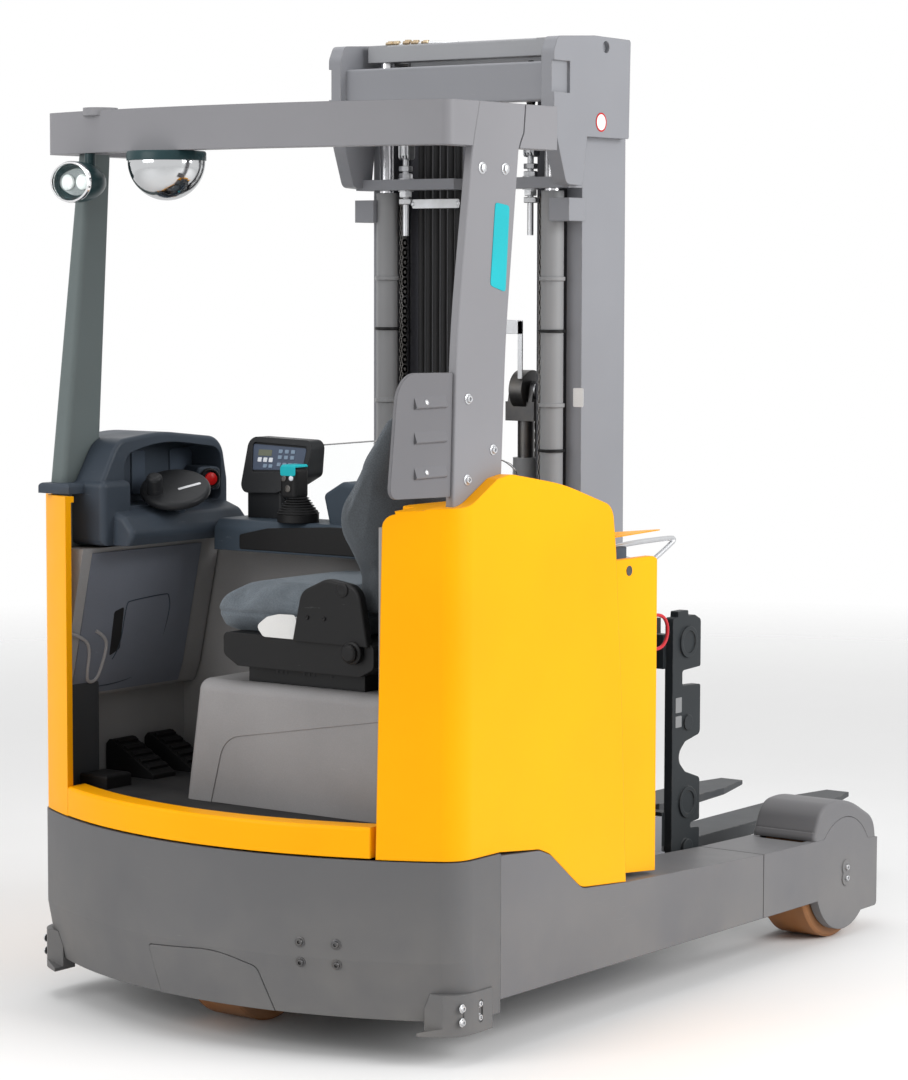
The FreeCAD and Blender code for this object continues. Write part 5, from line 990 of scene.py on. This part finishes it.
# Dark sheets on the seat base where its rail slots are: painted shade in the holes.
slots = [plate(0.0075, 0.0105, 0.0008, seated(*on_seat_base(y, 0.862), RIGHT), 0.002, 0.0002)
         for y in (-0.068, -0.082, -0.096, -0.150, -0.165, -0.180, -0.232)]
assemble("seat_rail_slot_shadows", slots, hose_rubber)

# ------------------------------------------------------------ knee panel and its seam, with a painted rim highlight and painted slot shade
KNEE_FOOT_Z, KNEE_STEP, KNEE_PROUD = 0.756, 0.012, 0.003
knee_line = []
for step in range(31):
    z = KNEE_FOOT_Z + KNEE_STEP * step
    knee_line.append((on_face("cabin_lining", at(0.205, 0.20, z), LEFT)[0].y, z))


def knee_point(x, z, lift=0.0):
    """A point on the knee panel at that height, and the way that its surface faces."""
    for (y_low, low), (y_high, high) in zip(knee_line, knee_line[1:]):
        if z <= high:
            break
    out = FRONT.cross(Vector((0.0, y_high - y_low, high - low))).normalized()
    y = y_low + (y_high - y_low) * (z - low) / (high - low)
    return at(x, y - KNEE_PROUD, z) + out * lift, out


def knee_tube(points, lift, radius, sides):
    """A bead along the knee panel through these points (x, z)."""
    return tube([knee_point(x, z, lift)[0] for x, z in points], radius, sides)


rings = [[at(x, y - KNEE_PROUD, z) for y, z in knee_line]
         + [at(x, y + 0.004, z) for y, z in reversed(knee_line)] for x in (0.060, 0.240, 0.468)]
assemble("knee_panel", [stacked(rings, Matrix.Identity(4))], knee_plastic, crease=50.0)
# A pale bead round the knee pocket; its colour is a painted rim highlight.
pocket = [(0.012, 0.922), (0.072, 0.905), (0.102, 0.874), (0.104, 0.800), (0.119, 0.786), (0.144, 0.790),
          (0.156, 0.830), (0.163, 0.881), (0.142, 0.905), (0.113, 0.918)]
assemble("knee_pocket_rim_highlight", [knee_tube(pocket, 0.001, 0.0045, 8)], trim_and_rim_highlight_plastic)
# A dark sheet on the knee panel where the slot is: painted shade in its recess.
slot = softened([(-0.014, -0.059), (0.022, -0.043), (0.014, 0.067), (-0.020, 0.057)], 0.007)
slot_place = seated(*knee_point(0.192, 0.905), FRONT)
assemble("knee_slot_shadow", [slab(slot, 0.0008, slot_place)], hose_rubber)
seam = [(0.150, 0.772), (0.352, 0.768), (0.386, 0.945), (0.371, 0.988), (0.360, 0.992), (0.225, 0.984),
        (0.213, 0.978), (0.214, 0.862), (0.190, 0.838)]
assemble("knee_seam", [knee_tube(seam, 0.0002, 0.0016, 6)], console_plastic)

# ------------------------------------------------------------ battery: cells, plug handle and latch
CELL_COLUMNS, CELL_ROWS, CELL_GAP, LID_TOP = 3, 8, 0.006, 0.0115
VENT_PROFILE = [(0.0170, 0.0), (0.0175, 0.004), (0.0150, 0.010), (0.0085, 0.012), (TIP, 0.0122)]
battery_low, battery_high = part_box("battery")
long = (battery_high.x - battery_low.x) / CELL_COLUMNS
wide = (battery_high.y - battery_low.y) / CELL_ROWS
cells, vents, links = [], [], []
for column in range(CELL_COLUMNS):
    for row in range(CELL_ROWS):
        middle = Vector((battery_low.x + long * (column + 0.5), battery_low.y + wide * (row + 0.5),
                         battery_high.z - 0.001))
        lid_place = facing(middle, FRONT, LEFT)
        cells.append(plate(long - CELL_GAP, wide - CELL_GAP, 0.012, lid_place, 0.006, 0.002))
        vents.append(turned(VENT_PROFILE, aimed(middle + UP * LID_TOP, UP), 24))
        if row < CELL_ROWS - 1:
            bar_place = facing(middle + Vector((0.028, wide / 2, LID_TOP)), FRONT, LEFT)
            links.append(plate(0.016, 0.072, 0.004, bar_place, 0.005))
assemble("battery_cell_lids", cells, cell_plastic)
assemble("battery_cell_vents", vents, vent_plastic)
assemble("battery_link_bars", links, dark_metal)
PLUG_Y, CABLE_Y, CABLE_DIAMETER = -0.520, -0.555, 0.009
handle_bends = [(0.872, 1.128), (0.935, 1.133), (1.140, 1.134), (1.155, 1.130), (1.150, 1.122),
                (1.050, 1.080), (1.024, 1.070), (0.995, 1.078), (0.872, 1.112)]
handle = tube([at(x, PLUG_Y, z) for x, z in handle_bends], 0.0065, 12)
assemble("battery_plug_handle", [handle], bright_metal)
flap = softened([(0.745, -0.602), (0.745, -0.490), (0.800, -0.500), (1.012, -0.560), (1.014, -0.568)],
                0.004)
assemble("battery_edge_flap", [slab(flap, 0.0025, lying(0.0, 0.0, 1.163))], yellow_paint)
plug = plate(0.125, 0.052, 0.036, lying(0.838, PLUG_Y, 1.094), 0.010, 0.003)
assemble("battery_plug", [plug], recess_plastic)


def free_cable(name, points, diameter, material):
    """A cable of the chassis that leaves the battery, hangs in a loop and goes back into it."""
    curve = smooth_line(name, points, 16)
    cable = linked(name, curve)
    line = bpy.data.meshes.new_from_object(cable)
    bpy.data.meshes.remove(line)
    curve.bevel_depth, curve.bevel_resolution, curve.use_fill_caps = diameter / 2, 3, True
    curve.materials.append(material)
    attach(cable, "chassis")


loop = [(0.8805, 0.945), (0.930, 0.952), (0.994, 0.950), (1.047, 0.947), (1.072, 0.923), (1.072, 0.888),
        (1.047, 0.863), (0.994, 0.863), (0.930, 0.870), (0.8805, 0.880)]
free_cable("red_battery_cable", [at(x, CABLE_Y, z) for x, z in loop], CABLE_DIAMETER, red_cable)
latch = turned([(0.0125, 0.0), (0.0125, 0.0012), (0.0095, 0.0014), (0.0090, 0.0004), (TIP, 0.0004)],
               aimed(*on_face("battery_panel_right", at(0.794, -0.9, 1.081), LEFT)), 32)
assemble("battery_panel_latch", [latch], dark_metal)

# ------------------------------------------------------------ lift frame plates
blanks = []
for z, tall in ((0.672, 0.040), (0.628, 0.030)):
    place = seated(*on_face("lift_frame", at(1.352, -0.8, z), LEFT), FRONT)
    blanks.append(plate(0.030, tall, 0.0008, place, 0.002, 0.0002))
assemble("lift_frame_blank_plates", blanks, frame_plate, "lift_frame")

# ------------------------------------------------------------ stage, lamps and light
bpy.ops.mesh.primitive_grid_add(x_subdivisions=4, y_subdivisions=4, size=60.0)
floor = bpy.context.object
floor.name = "studio_floor"
floor_material = bpy.data.materials.new("pale_floor")
floor_material.use_nodes = True
tree = floor_material.node_tree
shader = tree.nodes["Principled BSDF"]
shade = spread(tree, noise(tree, 1.4, 3.0), 0.3, 0.7, 0.985, 1.0)
tree.links.new(mix_colors(tree, 1.0, (0.86, 0.86, 0.86, 1), shade, "MULTIPLY"), shader.inputs["Base Color"])
shader.inputs["Roughness"].default_value = 0.7
place = add_node(tree, "TexCoord").outputs["Object"]
far = add_node(tree, "VectorMath", {0: place}, operation="LENGTH").outputs["Value"]
through = add_node(tree, "BsdfTransparent")
both = add_node(tree, "MixShader", {0: spread(tree, far, 3.0, 9.0), 1: shader.outputs["BSDF"],
                                    2: through.outputs["BSDF"]})
tree.links.new(both.outputs["Shader"], tree.nodes["Material Output"].inputs["Surface"])
floor.data.materials.append(floor_material)

world = bpy.data.worlds.new("studio_world")
scene.world = world
world.use_nodes = True
tree = world.node_tree
path = add_node(tree, "LightPath").outputs
seen = maths(tree, "MAXIMUM", path["Is Camera Ray"], path["Is Transmission Ray"])
strength = maths(tree, "MAXIMUM", maths(tree, "MAXIMUM", seen, path["Is Glossy Ray"]), 0.55)
backdrop = tree.nodes["Background"].inputs
backdrop["Color"].default_value = (1, 1, 1, 1)
tree.links.new(strength, backdrop["Strength"])


def soft_lamp(name, place, target, size, watts):
    """A square lamp that shines on its target and isn't seen itself."""
    data = bpy.data.lights.new(name, "AREA")
    data.shape, data.size, data.energy = "SQUARE", size, watts
    lamp = linked(name, data)
    lamp.matrix_world = aimed(place, Vector(place) - Vector(target))
    lamp.visible_camera = False


soft_lamp("right_side_lamp", (0.6, -6.0, 3.6), (-0.3, 0.0, 1.0), 4.0, 330)
soft_lamp("rear_lamp", (-6.2, 1.5, 3.4), (-1.0, 0.0, 0.9), 3.5, 150)
soft_lamp("top_lamp", (-1.0, 0.5, 6.0), (-0.5, 0.0, 1.0), 4.0, 110)

scene.view_settings.view_transform = "Standard"

bpy.context.view_layer.update()
